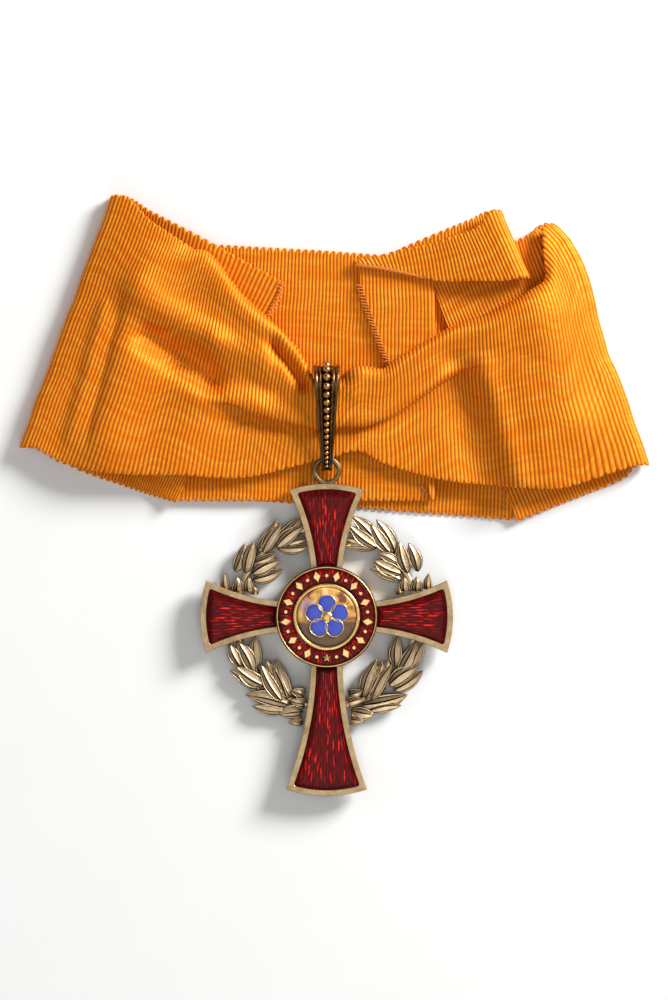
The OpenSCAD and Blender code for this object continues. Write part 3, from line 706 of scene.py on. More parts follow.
def shape_cloth(grid, dents, ribbon):
    """Presses the dents into the high plies and gives all plies a slight unevenness."""
    height = sum(dent_height(grid, dent, ribbon) for dent in dents) if dents else 0
    high = ease((grid[..., 2] - ply_z(DENT_PLY, ribbon)) / PLY_PITCH)
    grid[..., 2] += height * high
    x, y = grid[..., 0] / ribbon.width, grid[..., 1] / ribbon.width
    rise = np.sin(9 * x + 5 * y) * np.cos(7 * y - 3 * x) + 0.6 * np.sin(17 * x - 13 * y + 1)
    drift = np.sin(21 * y + 6 * x) + 0.6 * np.sin(43 * y - 9 * x + 2)
    grid[..., 2] += HAND_RISE * rise
    grid[..., 0] += HAND_DRIFT * drift


Dent = namedtuple("Dent", "from_x from_y to_x to_y width depth")


def dent_height(grid, dent, ribbon):
    """Height that a long soft dent or ridge adds. Places are shares of the width, depth of the loft."""
    start = np.array(spot(dent.from_x, dent.from_y, ribbon))
    end = np.array(spot(dent.to_x, dent.to_y, ribbon))
    run = end - start
    t = np.clip(((grid[..., :2] - start) @ run) / (run @ run), 0, 1)
    away = np.linalg.norm(grid[..., :2] - start - t[..., None] * run, axis=-1) / ribbon.width
    return dent.depth * ribbon.loft * np.exp(-((away / dent.width) ** 2))


def spot(x, y, ribbon):
    """A place in the ribbon's plan, in shares of its width from the bail's middle."""
    low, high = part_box("suspension_bail")
    return [x * ribbon.width, (low.y + high.y) / 2 + y * ribbon.width]


# Plies are 1.2 mm apart in the construction, which holds a stouter cloth than the silk
PLY_PITCH = 1.2 * MM
PLEAT = 1.15 * MM
SOFT_TURN = 1.6 * MM
FULL_ROLL = 0.05
FULL_TUCK = 0.02


def ply_z(n, ribbon):
    """Height of the middle of the n-th ply, let down so that the lowest silk lies on the floor."""
    return ribbon.cloth_t / 2 + ribbon.rib_relief + n * PLY_PITCH


Front = namedtuple("Front", "top_x top_y foot_x foot_y lip roll tuck top mid brow flap bulge")
# Lines across the front from the left fold to the right one. Ends in shares of the width, the lip's place
# as a share of the line, roll, tuck and bulge in shares of the width, heights in shares of the loft
FRONT_ROWS = [
    Front(-0.84, 0.87, -1.20, -0.11, 0.6, 0, 0, 0, 0, 0, 0, 0),
    Front(-0.69, 0.77, -1.04, -0.17, 0.6, 0, 0, 0.3, 0.1, 0.1, 0.1, 0),
    Front(-0.58, 0.70, -0.87, -0.21, 0.6, 0.01, 0, 0.5, 0.1, 0.15, 0.15, 0),
    Front(-0.47, 0.65, -0.69, -0.22, 0.6, 0.05, 0, 0.7, 0.2, 0.3, 0.15, 0),
    Front(-0.40, 0.57, -0.56, -0.22, 0.6, 0.08, 0, 0.8, 0.3, 0.45, 0.1, 0),
    Front(-0.33, 0.48, -0.44, -0.23, 0.6, 0.1, 0.01, 0.85, 0.4, 0.55, 0.05, 0),
    Front(-0.25, 0.41, -0.32, -0.23, 0.61, 0.1, 0.02, 0.9, 0.5, 0.6, 0, 0),
    Front(-0.16, 0.32, -0.22, -0.21, 0.62, 0.1, 0.035, 0.9, 0.6, 0.6, 0, 0),
    Front(-0.11, 0.26, -0.14, -0.19, 0.63, 0.1, 0.045, 0.85, 0.65, 0.6, 0, 0),
    Front(-0.07, 0.18, -0.07, -0.17, 0.61, 0.09, 0.045, 0.8, 0.7, 0.58, 0, 0),
    Front(-0.03, 0.13, -0.03, -0.16, 0.6, 0.08, 0.045, 0.75, 0.7, 0.575, 0, 0),
    Front(0.03, 0.13, 0.03, -0.15, 0.6, 0.08, 0.045, 0.75, 0.7, 0.575, 0, 0),
    Front(0.08, 0.18, 0.08, -0.13, 0.68, 0.09, 0.045, 0.8, 0.7, 0.58, 0, 0),
    Front(0.14, 0.20, 0.14, -0.13, 0.7, 0.1, 0.05, 0.85, 0.7, 0.6, 0, 0),
    Front(0.22, 0.19, 0.21, -0.17, 0.55, 0.1, 0.045, 0.85, 0.7, 0.6, 0, 0),
    Front(0.28, 0.23, 0.30, -0.20, 0.46, 0.1, 0.04, 0.9, 0.7, 0.6, 0, 0),
    Front(0.39, 0.30, 0.41, -0.23, 0.37, 0.1, 0.03, 0.9, 0.7, 0.6, 0.05, 0),
    Front(0.50, 0.36, 0.53, -0.25, 0.3, 0.1, 0.02, 0.9, 0.7, 0.55, 0.15, 0),
    Front(0.62, 0.40, 0.66, -0.26, 0.3, 0.09, 0, 0.85, 0.6, 0.4, 0.2, 0.004),
    Front(0.72, 0.45, 0.79, -0.27, 0.3, 0.08, 0, 0.8, 0.5, 0.3, 0.25, 0.008),
    Front(0.80, 0.50, 0.92, -0.27, 0.4, 0.05, 0, 0.7, 0.4, 0.3, 0.25, 0.014),
    Front(0.85, 0.57, 1.03, -0.24, 0.5, 0.02, 0, 0.5, 0.3, 0.25, 0.2, 0.03),
    Front(0.85, 0.68, 1.15, -0.20, 0.5, 0, 0, 0.3, 0.2, 0.15, 0.1, 0.038),
    Front(0.89, 0.76, 1.26, -0.18, 0.5, 0, 0, 0, 0, 0, 0, 0.05),
]
Line = namedtuple("Line", "top_x top_y foot_x foot_y")
LEFT_ROWS = [
    Line(-0.69, 0.81, -0.97, -0.20),
    Line(-0.48, 0.70, -0.77, -0.27),
    Line(-0.32, 0.61, -0.68, -0.30),
    Line(-0.17, 0.53, -0.59, -0.325),
]
RIGHT_ROWS = [
    Line(0.80, 0.72, 1.17, -0.23),
    Line(0.68, 0.67, 1.03, -0.29),
    Line(0.54, 0.61, 0.90, -0.34),
    Line(0.41, 0.54, 0.745, -0.40),
]
LEFT_CLIMB = (-0.72, -0.60)
RIGHT_CLIMB = (0.92, 0.82)
PLACES = 19
# Rows between the places of a line across the front, closer at the edges, the roll and the tuck
ROW_STEPS = (1, 1, 1, 1, 1, 4, 4, 4, 4, 4, 2, 2, 1, 2, 2, 3, 3, 2)
BAND_HEM = 2.2 * MM
FRONT_DENTS = [
    Dent(-0.70, 0.52, -0.86, -0.08, 0.13, 0.70),
    Dent(-0.52, 0.10, -0.58, -0.16, 0.13, 0.30),
    Dent(-0.74, 0.50, -0.44, 0.31, 0.06, 0.42),
    Dent(-0.44, 0.31, -0.24, 0.23, 0.05, 0.28),
    Dent(-0.70, 0.32, -0.46, 0.15, 0.055, -0.80),
    Dent(-0.46, 0.15, -0.20, 0.10, 0.045, -0.26),
    Dent(-0.80, 0.46, -0.93, -0.06, 0.018, -0.18),
    Dent(-0.87, 0.44, -1.00, -0.06, 0.025, 0.20),
    Dent(-0.200, 0.285, -0.09, 0.13, 0.022, -0.60),
    Dent(-0.215, 0.300, -0.205, 0.24, 0.03, -0.30),
    Dent(0.110, 0.255, 0.06, 0.17, 0.018, -0.75),
    Dent(0.15, 0.23, 0.10, 0.10, 0.03, 0.12),
    Dent(0.52, 0.02, 0.60, -0.22, 0.07, -0.30),
    Dent(0.50, 0.22, 0.56, 0.06, 0.05, -0.30),
    Dent(0.61, 0.20, 0.75, -0.24, 0.055, 0.42),
    Dent(0.68, 0.28, 0.84, -0.20, 0.10, 0.45),
    Dent(0.84, 0.36, 0.95, -0.02, 0.14, 0.70),
]


def front_profile(row, length, ribbon):
    """A line across the front as distances from its top end and heights."""
    base = ply_z(3, ribbon)
    lip = row.lip * length
    rest = length - lip
    rolled = min(1, max(0, row.roll) / FULL_ROLL)
    tucked = min(1, max(0, row.tuck) / FULL_TUCK)
    tuck = max(row.tuck * ribbon.width, 2 * PLEAT)
    top = base + row.top * ribbon.loft
    mid = base + row.mid * ribbon.loft
    flap = base + row.flap * ribbon.loft
    brow = max(base + row.brow * ribbon.loft, lerp(flap, flap + 2 * PLEAT, tucked))
    half = (top - base) / 2
    turn = min(half, SOFT_TURN)
    shoulder = lerp(mid, top, 0.3 * rolled)
    slope = lerp(mid, brow, 0.4)
    roll_end = max(max(0, row.roll) * ribbon.width, turn + SOFT_TURN / 4)
    line = [(lerp(0, roll_end, rolled), lerp(top, base, rolled))]
    for k in range(5):
        angle = math.radians(45 * k - 90)
        line.append(
            (
                lerp((0.03 + 0.03 * k) * lip, turn * (1 - math.cos(angle)), rolled),
                lerp(top, base + half + half * math.sin(angle), rolled),
            )
        )
    line += [
        (0.28 * lip, lerp(top, shoulder, 0.5)),
        (0.42 * lip, shoulder),
        (0.56 * lip, lerp(shoulder, slope, 0.5)),
        (0.7 * lip, slope),
        (lerp(0.85 * lip, lip - PLEAT / 2, tucked), lerp(lerp(mid, brow, 0.8), brow, tucked)),
        (lerp(0.92 * lip, lip, tucked), lerp(brow, brow - PLEAT / 2, tucked)),
        (lerp(0.99 * lip, lip - PLEAT / 2, tucked), lerp(brow, brow - PLEAT, tucked)),
        (
            lerp(lip + 0.05 * rest, lip - tuck + PLEAT / 2, tucked),
            lerp(lerp(brow, flap, 0.2), flap + PLEAT, tucked),
        ),
        (
            lerp(lip + 0.12 * rest, lip - tuck, tucked),
            lerp(lerp(brow, flap, 0.5), flap + PLEAT / 2, tucked),
        ),
        (
            lerp(lip + 0.2 * rest, lip - tuck + PLEAT / 2, tucked),
            lerp(lerp(brow, flap, 0.8), flap, tucked),
        ),
    ]
    line += [(lip + k * rest, flap) for k in (0.45, 0.72, 1)]
    return line


def front_line(row, ribbon):
    """A line across the front in space."""
    top = np.array(spot(row.top_x, row.top_y, ribbon))
    foot = np.array(spot(row.foot_x, row.foot_y, ribbon))
    length = np.linalg.norm(foot - top)
    along = (foot - top) / length
    aside = np.array([-along[1], along[0]])
    line = []
    for run, z in front_profile(row, length, ribbon):
        line.append([*(top + along * run + aside * bulge(run / length) * row.bulge * ribbon.width), z])
    return line


# Bulge of the folded shoulder at places along its line: full near the top, with a faint second wave
BULGE_PLACES = [0, 0.03, 0.06, 0.12, 0.19, 0.27, 0.36, 0.55, 0.7, 1]
BULGE = [0, 0.38, 0.62, 0.9, 1, 0.9, 0.62, 0.2, 0.3, 0]


def bulge(share):
    """Bulge at a share of a line's length, as a share of the line's greatest."""
    return float(np.interp(share, BULGE_PLACES, BULGE))


def straight_line(row, z, ribbon, count=PLACES):
    """A straight line across a ply. z is its height, or a function of x in shares of the width."""
    top = np.array(spot(row.top_x, row.top_y, ribbon))
    foot = np.array(spot(row.foot_x, row.foot_y, ribbon))
    along = (foot - top) / np.linalg.norm(foot - top)
    aside = np.array([-along[1], along[0]]) * getattr(row, "bulge", 0) * ribbon.width
    line = []
    for t in np.linspace(0, 1, count):
        place = lerp(top, foot, t) + aside * bulge(t)
        line.append([*place, z(place[0] / ribbon.width) if callable(z) else z])
    return line


def turn_lines(row, side, high, low, ribbon, count=PLACES):
    """The round turn at a fold, from a high ply to a low one. side is 1 at the right, -1 at the left."""
    half = (high - low) / 2
    lines = []
    for angle in np.radians([90, 60, 30, 0, -30, -60, -90]):
        line = np.array(straight_line(row, low + half + half * math.sin(angle), ribbon, count))
        line[:, 0] -= side * half * (1 - math.cos(angle))
        lines.append(line)
    return lines


def climb(ends, ply, ribbon):
    """Height of a folded end that climbs over what is sewn under it."""

    def height(x):
        return lerp(ply_z(0, ribbon), ply_z(ply, ribbon), ease((x - ends[0]) / (ends[1] - ends[0])))

    return height


def row_places(steps):
    """Places of the rows, from the number of rows in each segment of a line."""
    places = [0.0]
    for k, count in enumerate(steps):
        places += [k + (i + 1) / count for i in range(count)]
    return np.array(places)


def even_places(count):
    """Evenly spread rows of a plain line."""
    return np.linspace(0, PLACES - 1, count)


class BADGE_OT_ribbon_band(bpy.types.Operator):
    """Builds the front of the ribbon with its two folded ends"""

    bl_idname = "badge.ribbon_band"
    bl_label = "Ribbon band"

    def execute(self, context):
        ribbon = context.scene.badge_ribbon
        # Between the folds there are two lines for each row of the table
        rows = np.array(FRONT_ROWS, float)
        steps = np.arange(1, len(rows) - 1.5, 0.5)
        between = [Front(*r) for r in hermite(rows, np.arange(len(rows), dtype=float), steps)]
        high, low = ply_z(3, ribbon), ply_z(0, ribbon)
        stations = [straight_line(r, climb(LEFT_CLIMB, 2, ribbon), ribbon) for r in LEFT_ROWS[::-1]]
        stations += turn_lines(FRONT_ROWS[0], -1, high, low, ribbon)[::-1]
        stations += [front_line(r, ribbon) for r in between]
        stations += turn_lines(FRONT_ROWS[-1], 1, high, low, ribbon)
        stations += [straight_line(r, climb(RIGHT_CLIMB, 1, ribbon), ribbon) for r in RIGHT_ROWS]
        piece, length = cloth(
            "silk_band",
            stations,
            row_places(ROW_STEPS),
            ribbon,
            hems=(BAND_HEM, BAND_HEM),
            dents=FRONT_DENTS,
        )
        seat(piece, "orange_silk", "ribbon_band")
        return {"FINISHED"}


LEFT_PANEL = [
    Line(-0.50, 0.68, -0.58, -0.32),
    Line(-0.05, 0.655, -0.09, -0.32),
    Line(0.39, 0.63, 0.39, -0.32),
]
LEFT_PANEL_FOLD = Line(0.42, 0.63, 0.42, -0.32)
# The turned hem ends in a slanting cut
LEFT_PANEL_HEM = [Line(x, 0.63, x, 0.54 - 2.79 * (x - 0.123)) for x in (0.385, 0.30, 0.21, 0.13)]
RIGHT_PANEL = [
    Line(-0.20, 0.65, -0.27, -0.32),
    Line(0.28, 0.62, 0.22, -0.355),
    Line(0.77, 0.59, 0.735, -0.395),
]
PANEL_HEM = 2 * MM


class BADGE_OT_back_panels(bpy.types.Operator):
    """Builds the two back panels, the left one with its turned hem"""

    bl_idname = "badge.back_panels"
    bl_label = "Back panels"

    def execute(self, context):
        ribbon = context.scene.badge_ribbon
        flat = even_places(14)
        z = ply_z(1, ribbon)
        stations = [straight_line(r, z, ribbon) for r in LEFT_PANEL]
        stations += turn_lines(LEFT_PANEL_FOLD, 1, ply_z(2, ribbon), z, ribbon)[::-1]
        stations += [straight_line(r, ply_z(2, ribbon), ribbon) for r in LEFT_PANEL_HEM]
        middle_of_fold = len(LEFT_PANEL) + 3
        piece, length = cloth("silk_panel_left", stations, flat, ribbon, raw_after=middle_of_fold)
        seat(piece, "orange_silk", "back_panel_left")
        stations = [straight_line(r, ply_z(0, ribbon), ribbon) for r in RIGHT_PANEL]
        piece, length = cloth("silk_panel_right", stations, flat, ribbon, hems=(0, PANEL_HEM))
        seat(piece, "orange_silk", "back_panel_right")
        return {"FINISHED"}


STRAP_LOFT = 2.2 * MM
STRAP_BACK = [
    Line(0.27, 0.652, 0.275, 0.642),
    Line(0.36, 0.692, 0.37, 0.645),
    Line(0.45, 0.73, 0.46, 0.55),
    Line(0.56, 0.774, 0.60, 0.55),
]
STRAP_FOLD = Line(0.68, 0.81, 0.79, 0.55)
STRAP_FRONT = [
    Line(0.60, 0.752, 0.69, 0.54),
    Line(0.52, 0.718, 0.58, 0.54),
    Line(0.41, 0.682, 0.44, 0.54),
    Line(0.29, 0.656, 0.31, 0.57),
    Line(0.19, 0.63, 0.21, 0.59),
    Line(0.11, 0.62, 0.12, 0.605),
]


class BADGE_OT_strap_loop(bpy.types.Operator):
    """Builds the short folded strap that closes the ribbon's loop"""

    bl_idname = "badge.strap_loop"
    bl_label = "Strap loop"

    def execute(self, context):
        ribbon = context.scene.badge_ribbon
        low, high = ply_z(2, ribbon), ply_z(3, ribbon)
        # The fold stands open a little, so the front ply comes down from it
        stations = [straight_line(r, low, ribbon) for r in STRAP_BACK]
        stations += turn_lines(STRAP_FOLD, 1, high + STRAP_LOFT, low, ribbon)[::-1]
        for row, loft in zip(STRAP_FRONT, (0.95, 0.7, 0.25, 0, 0, 0)):
            stations.append(straight_line(row, high + loft * STRAP_LOFT, ribbon))
        piece, length = cloth("silk_strap", stations, even_places(7), ribbon)
        seat(piece, "orange_silk", "strap_loop")
        return {"FINISHED"}


Seam = namedtuple("Seam", "height count length slant spread path")
# Rows of sewing: height in plies, stitches, their length in mm, their slant and the slant's change from one
# to the next in degrees, and their path in shares of the ribbon's width
SEAMS = [
    Seam(3.3, 30, 1.5, 35, 0, [(0.12, 0.6), (0.217, 0.587), (0.303, 0.569), (0.396, 0.549)]),
    Seam(3.45, 22, 1.1, 20, 0, [(0.42, 0.546), (0.55, 0.54), (0.68, 0.541), (0.78, 0.552)]),
    Seam(2.45, 26, 1.9, 62, 0, [(0.128, 0.52), (0.15, 0.447), (0.192, 0.335), (0.236, 0.224)]),
    Seam(1.45, 9, 1.5, 50, 70, [(0.37, -0.262), (0.395, -0.297)]),
    Seam(0.45, 10, 1.9, 50, 80, [(0.693, -0.27), (0.7, -0.375)]),
    Seam(2.6, 18, 1.7, 60, 55, [(-0.176, 0.525), (-0.186, 0.475), (-0.225, 0.405)]),
    Seam(0.75, 9, 1.7, 45, 90, [(-0.615, -0.31), (-0.575, -0.262)]),
]
THREAD_D = 0.3 * MM


class BADGE_OT_seams(bpy.types.Operator):
    """Lays the threads that sew the folded ribbon together"""

    bl_idname = "badge.seams"
    bl_label = "Seams"

    def execute(self, context):
        ribbon = context.scene.badge_ribbon
        thread = materials()["thread"]
        tree, sockets = stitch_tree(thread)
        parts = []
        for seam in SEAMS:
            line = [(*spot(x, y, ribbon), ply_z(seam.height, ribbon)) for x, y in seam.path]
            values = {
                "Count": seam.count,
                "Length": seam.length * MM,
                "Thread": THREAD_D,
                "Slant": math.radians(seam.slant),
                "Spread": math.radians(seam.spread),
            }
            edges = [(i, i + 1) for i in range(len(line) - 1)]
            parts.append(grow(tree, sockets, values, "seam", line, edges, thread))
        seat(join(parts, "sewing_threads"), "orange_silk")
        return {"FINISHED"}


def bevelled_copy(node, name, material, width, angle=40, segments=3):
    """A copy of a construction node with its doubles merged, its flats joined and its edges rounded."""
    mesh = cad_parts[node].data.copy()
    mesh.name = name
    mesh.materials.clear()
    mesh.materials.append(material)
    piece = bpy.data.objects.new(name, mesh)
    bpy.context.scene.collection.objects.link(piece)
    weld = piece.modifiers.new("weld", "WELD")
    weld.merge_threshold = 0.002 * MM
    flats = piece.modifiers.new("flats", "DECIMATE")
    flats.decimate_type = "DISSOLVE"
    flats.angle_limit = math.radians(0.5)
    bevel = piece.modifiers.new("bevel", "BEVEL")
    bevel.width = width
    bevel.segments = segments
    bevel.limit_method = "ANGLE"
    bevel.angle_limit = math.radians(angle)
    bevel.harden_normals = True
    apply_modifiers(piece)
    piece.data.polygons.foreach_set("use_smooth", [True] * len(piece.data.polygons))
    piece.data.set_sharp_from_angle(angle=math.radians(angle))
    return piece


def apply_modifiers(piece):
    """Turns the evaluated piece into a plain mesh."""
    graph = bpy.context.evaluated_depsgraph_get()
    mesh = bpy.data.meshes.new_from_object(piece.evaluated_get(graph))
    piece.modifiers.clear()
    piece.data = mesh


Arm = namedtuple("Arm", "name turn length width")
ARMS = [
    Arm("top", 0, 29.2 * MM, 16.5 * MM),
    Arm("left", 90, 27.7 * MM, 15.9 * MM),
    Arm("right", -90, 27.7 * MM, 15.9 * MM),
    Arm("bottom", 180, 39.3 * MM, 17.8 * MM),
]
ARM_ROOT_W = 7 * MM
RIM_W = 1.25 * MM
SEAT_GAP = 0.1 * MM
MEDALLION_R = 11.2 * MM
CELL_DEPTH = 1.2 * MM
# Hollow of an arm's side and bulge of its end, as shares of their chords
SIDE_HOLLOW = 0.043
END_BULGE = 0.082
CELL_CORNER = 0.5 * MM
# Softened edges of the casting: at its back, in its corners and where a cell opens
BACK_EDGE = 0.15 * MM
OUTER_CORNER = 0.05 * MM
CELL_EDGE = 0.06 * MM
# The engraving under the enamel: pitch and length of its cuts, which fan out from behind the middle
CUT_PITCH = 0.62 * MM
CUT_LENGTH = 3.6 * MM
FAN_FOCUS = 18 * MM
# Number of the cut on an arm's middle line, high enough that no cut's number is negative
MIDDLE_CUT = 40
RING_D = 6.4 * MM
RING_WIRE = 1.05 * MM
# Height of the ring's middle, as a share of the casting's thickness
RING_RISE = 0.58
SHARP = math.radians(28)


def chord_r(chord, share):
    """Radius of an arc from its chord and its rise as a share of it."""
    return chord / (8 * share) + chord * share / 2


def arm_arcs(arm):
    """The circles of an arm along +Y: centre and radius of its right side, and of its end."""
    corner = np.array([arm.width / 2, arm.length - arm.width * END_BULGE])
    root = np.array([ARM_ROOT_W / 2, MEDALLION_R])
    side = np.linalg.norm(corner - root)
    along = (corner - root) / side
    side_r = chord_r(side, SIDE_HOLLOW)
    side_c = (corner + root) / 2 + np.array([along[1], -along[0]]) * (side_r - side * SIDE_HOLLOW)
    end_r = chord_r(arm.width, END_BULGE)
    return side_c, side_r, np.array([0, arm.length - end_r]), end_r


def arm_corner(arm, inset):
    """Where an arm's right side meets its end when both are moved in by inset."""
    side_c, side_r, end_c, end_r = arm_arcs(arm)
    a, b = side_r + inset, end_r - inset
    gap = end_c - side_c
    d = np.linalg.norm(gap)
    along = (a * a - b * b + d * d) / (2 * d)
    rise = math.sqrt(max(0, a * a - along * along))
    unit = gap / d
    found = [side_c + unit * along + k * rise * np.array([-unit[1], unit[0]]) for k in (1, -1)]
    return max(found, key=lambda point: point[1])


def arc(middle, radius, start, end, count):
    """Points on an arc, both ends included."""
    a = np.linspace(start, end, count)
    return np.stack([middle[0] + radius * np.cos(a), middle[1] + radius * np.sin(a)], -1)


def arm_outline(arm, inset, corner_r, root_r):
    """An arm's outline moved in by inset, counter-clockwise from its right foot, in as many points."""
    side_c, side_r, end_c, end_r = arm_arcs(arm)
    x = ARM_ROOT_W / 2
    for _ in range(8):
        y = math.sqrt(root_r**2 - x**2)
        x = side_c[0] - math.sqrt((side_r + inset) ** 2 - (y - side_c[1]) ** 2)
    fillet = arm_corner(arm, inset + corner_r)
    foot = math.atan2(y - side_c[1], x - side_c[0]) % math.tau
    side_turn = math.atan2(*(fillet - side_c)[::-1]) % math.tau
    end_turn = math.atan2(*(fillet - end_c)[::-1])
    right = arc(side_c, side_r + inset, foot, side_turn, 30)
    bend = arc(fillet, corner_r, side_turn - math.pi, end_turn, 8)
    end = arc(end_c, end_r - inset, end_turn, math.pi - end_turn, 29)
    half = np.concatenate([right[:-1], bend[:-1]])
    left = half[::-1] * [-1, 1]
    root_turn = math.atan2(y, x)
    root = arc((0, 0), root_r, math.pi - root_turn, root_turn, 11)[1:-1]
    return np.concatenate([half, end, left, root])


def bridge(loops):
    """Points and faces of stacked loops of equal length, closed by a face at the bottom and the top."""
    count = len(loops[0])
    faces = [tuple(range(count))[::-1]]
    for k in range(len(loops) - 1):
        for i in range(count):
            j = (i + 1) % count
            faces.append((k * count + i, k * count + j, (k + 1) * count + j, (k + 1) * count + i))
    faces.append(tuple(range((len(loops) - 1) * count, len(loops) * count)))
    return np.concatenate(loops), faces


def at_height(outline, z):
    """A flat outline as points in space."""
    return np.concatenate([outline, np.full((len(outline), 1), z)], axis=1)


def spun(points, degrees):
    """Points turned about Z."""
    angle = math.radians(degrees)
    return points @ np.array(
        [[math.cos(angle), math.sin(angle), 0], [-math.sin(angle), math.cos(angle), 0], [0, 0, 1]]
    )


def arm_rim(arm, back_z, rim_z, bevel):
    """The gilt of one arm: flat rims with crisp edges round an open cell with softened corners."""
    root = MEDALLION_R - 0.6 * MM
    steps = [
        (BACK_EDGE, back_z, root, OUTER_CORNER),
        (0, back_z + BACK_EDGE, root, OUTER_CORNER),
        (0, rim_z - bevel, root, OUTER_CORNER),
        (bevel, rim_z, root, OUTER_CORNER),
        (RIM_W - CELL_EDGE, rim_z, MEDALLION_R, CELL_CORNER),
        (RIM_W, rim_z - CELL_EDGE, MEDALLION_R, CELL_CORNER),
        (RIM_W, rim_z - CELL_DEPTH, MEDALLION_R, CELL_CORNER),
    ]
    loops = [
        at_height(arm_outline(arm, inset, corner, root_r), z) for inset, z, root_r, corner in steps
    ]
    points, faces = bridge(loops)
    return spun(points, arm.turn), faces


def enamel_arm(arm, crown):
    """A glossy enamel cushion in the cell of one arm."""
    rim_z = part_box("cross_frame")[1].z
    outline = arm_outline(arm, RIM_W + SEAT_GAP / 2, CELL_CORNER, MEDALLION_R + SEAT_GAP)
    # Rings of points close in on the arm's middle line
    spine = outline.copy()
    spine[:, 0] = 0
    spine[:, 1] = np.clip(outline[:, 1], MEDALLION_R + 1.5 * MM, arm.length - arm.width * 0.35)
    shares = np.concatenate([[1], np.cos(np.linspace(0.12, 0.99, 26) * math.pi / 2)])
    reach = np.linalg.norm(outline - spine, axis=1)
    loops = [at_height(outline, rim_z - CELL_DEPTH + SEAT_GAP)]
    dark = [np.ones(len(outline))]
    for share in shares:
        away = (1 - share) * reach
        dome = 1 - np.exp(-away / (1.0 * MM))
        ring = np.zeros((len(outline), 3))
        ring[:, :2] = spine + (outline - spine) * share
        ring[:, 2] = rim_z - 0.5 * SEAT_GAP + (crown + 0.5 * SEAT_GAP) * dome
        loops.append(ring)
        # The enamel darkens at the rims and towards the arm's broad end as painted shade, and its cuts fade
        # with it
        to_end = arm.length - RIM_W - ring[:, 1]
        dark.append(
            np.maximum(np.exp(-away / (0.45 * MM)), 0.75 * np.exp(-((to_end / (1.6 * MM)) ** 2)))
        )
    points, faces = bridge(loops)
    # The cuts have their pitch at 0.7 of the arm's length
    fan = points[:, 0] / (points[:, 1] + FAN_FOCUS) * (arm.length * 0.7 + FAN_FOCUS) / CUT_PITCH
    piece = new_piece(
        "enamel_" + arm.name,
        spun(points, arm.turn),
        faces,
        materials()["red"],
        uv=np.stack([fan + MIDDLE_CUT, points[:, 1] / CUT_LENGTH], -1),
        uv_name="engraving",
        patina_and_shade=np.concatenate(dark),
    )
    seat(piece, "red_enamel", "enamel_arm_" + arm.name)


def torus(middle, radius, wire_w, wire_h, turns=72, around=20):
    """A closed ring about Z, of a wire whose section is a rounded square."""
    a = np.linspace(0, math.tau, turns, endpoint=False)[:, None]
    b = np.linspace(0, math.tau, around, endpoint=False)[None, :]
    across, up = np.cos(b), np.sin(b)
    full = (np.abs(across) ** 3 + np.abs(up) ** 3) ** (-1 / 3)
    r = radius + wire_w / 2 * across * full
    z = middle[2] + wire_h / 2 * up * full * np.ones_like(a)
    points = np.stack([middle[0] + r * np.cos(a), middle[1] + r * np.sin(a), z], -1)
    return points.reshape(-1, 3), tube_faces(turns, around)


class BADGE_OT_cross(bpy.types.Operator):
    """Builds the gilt cross with its ring and the enamel in its four arms"""

    bl_idname = "badge.cross"
    bl_label = "Cross"

    def execute(self, context):
        cross = context.scene.badge_cross
        low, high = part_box("cross_frame")
        back_z, rim_z = low.z, high.z
        parts = [arm_rim(arm, back_z, rim_z, cross.bevel) for arm in ARMS]
        hub = arc((0, 0), MEDALLION_R - 0.3 * MM, 0, math.tau, 97)[:-1]
        parts.append(bridge([at_height(hub, back_z), at_height(hub, rim_z - 0.1 * MM)]))
        ring = (0, high.y - RING_D / 2, back_z + RING_RISE * (rim_z - back_z))
        parts.append(torus(ring, (RING_D - RING_WIRE) / 2, RING_WIRE, 0.85 * RING_WIRE))
        points, faces = merged(parts)
        deep = np.clip((rim_z - 0.25 * MM - points[:, 2]) / (0.5 * MM), 0, 0.8)
        piece = new_piece("gilt_cross", points, faces, materials()["gilt"], patina_and_shade=deep)
        piece.data.set_sharp_from_angle(angle=SHARP)
        seat(piece, "gilt", "cross_frame")
        for arm in ARMS:
            enamel_arm(arm, cross.crown)
        return {"FINISHED"}


Leaf = namedtuple("Leaf", "tip_angle tip_r base_angle base_r width")
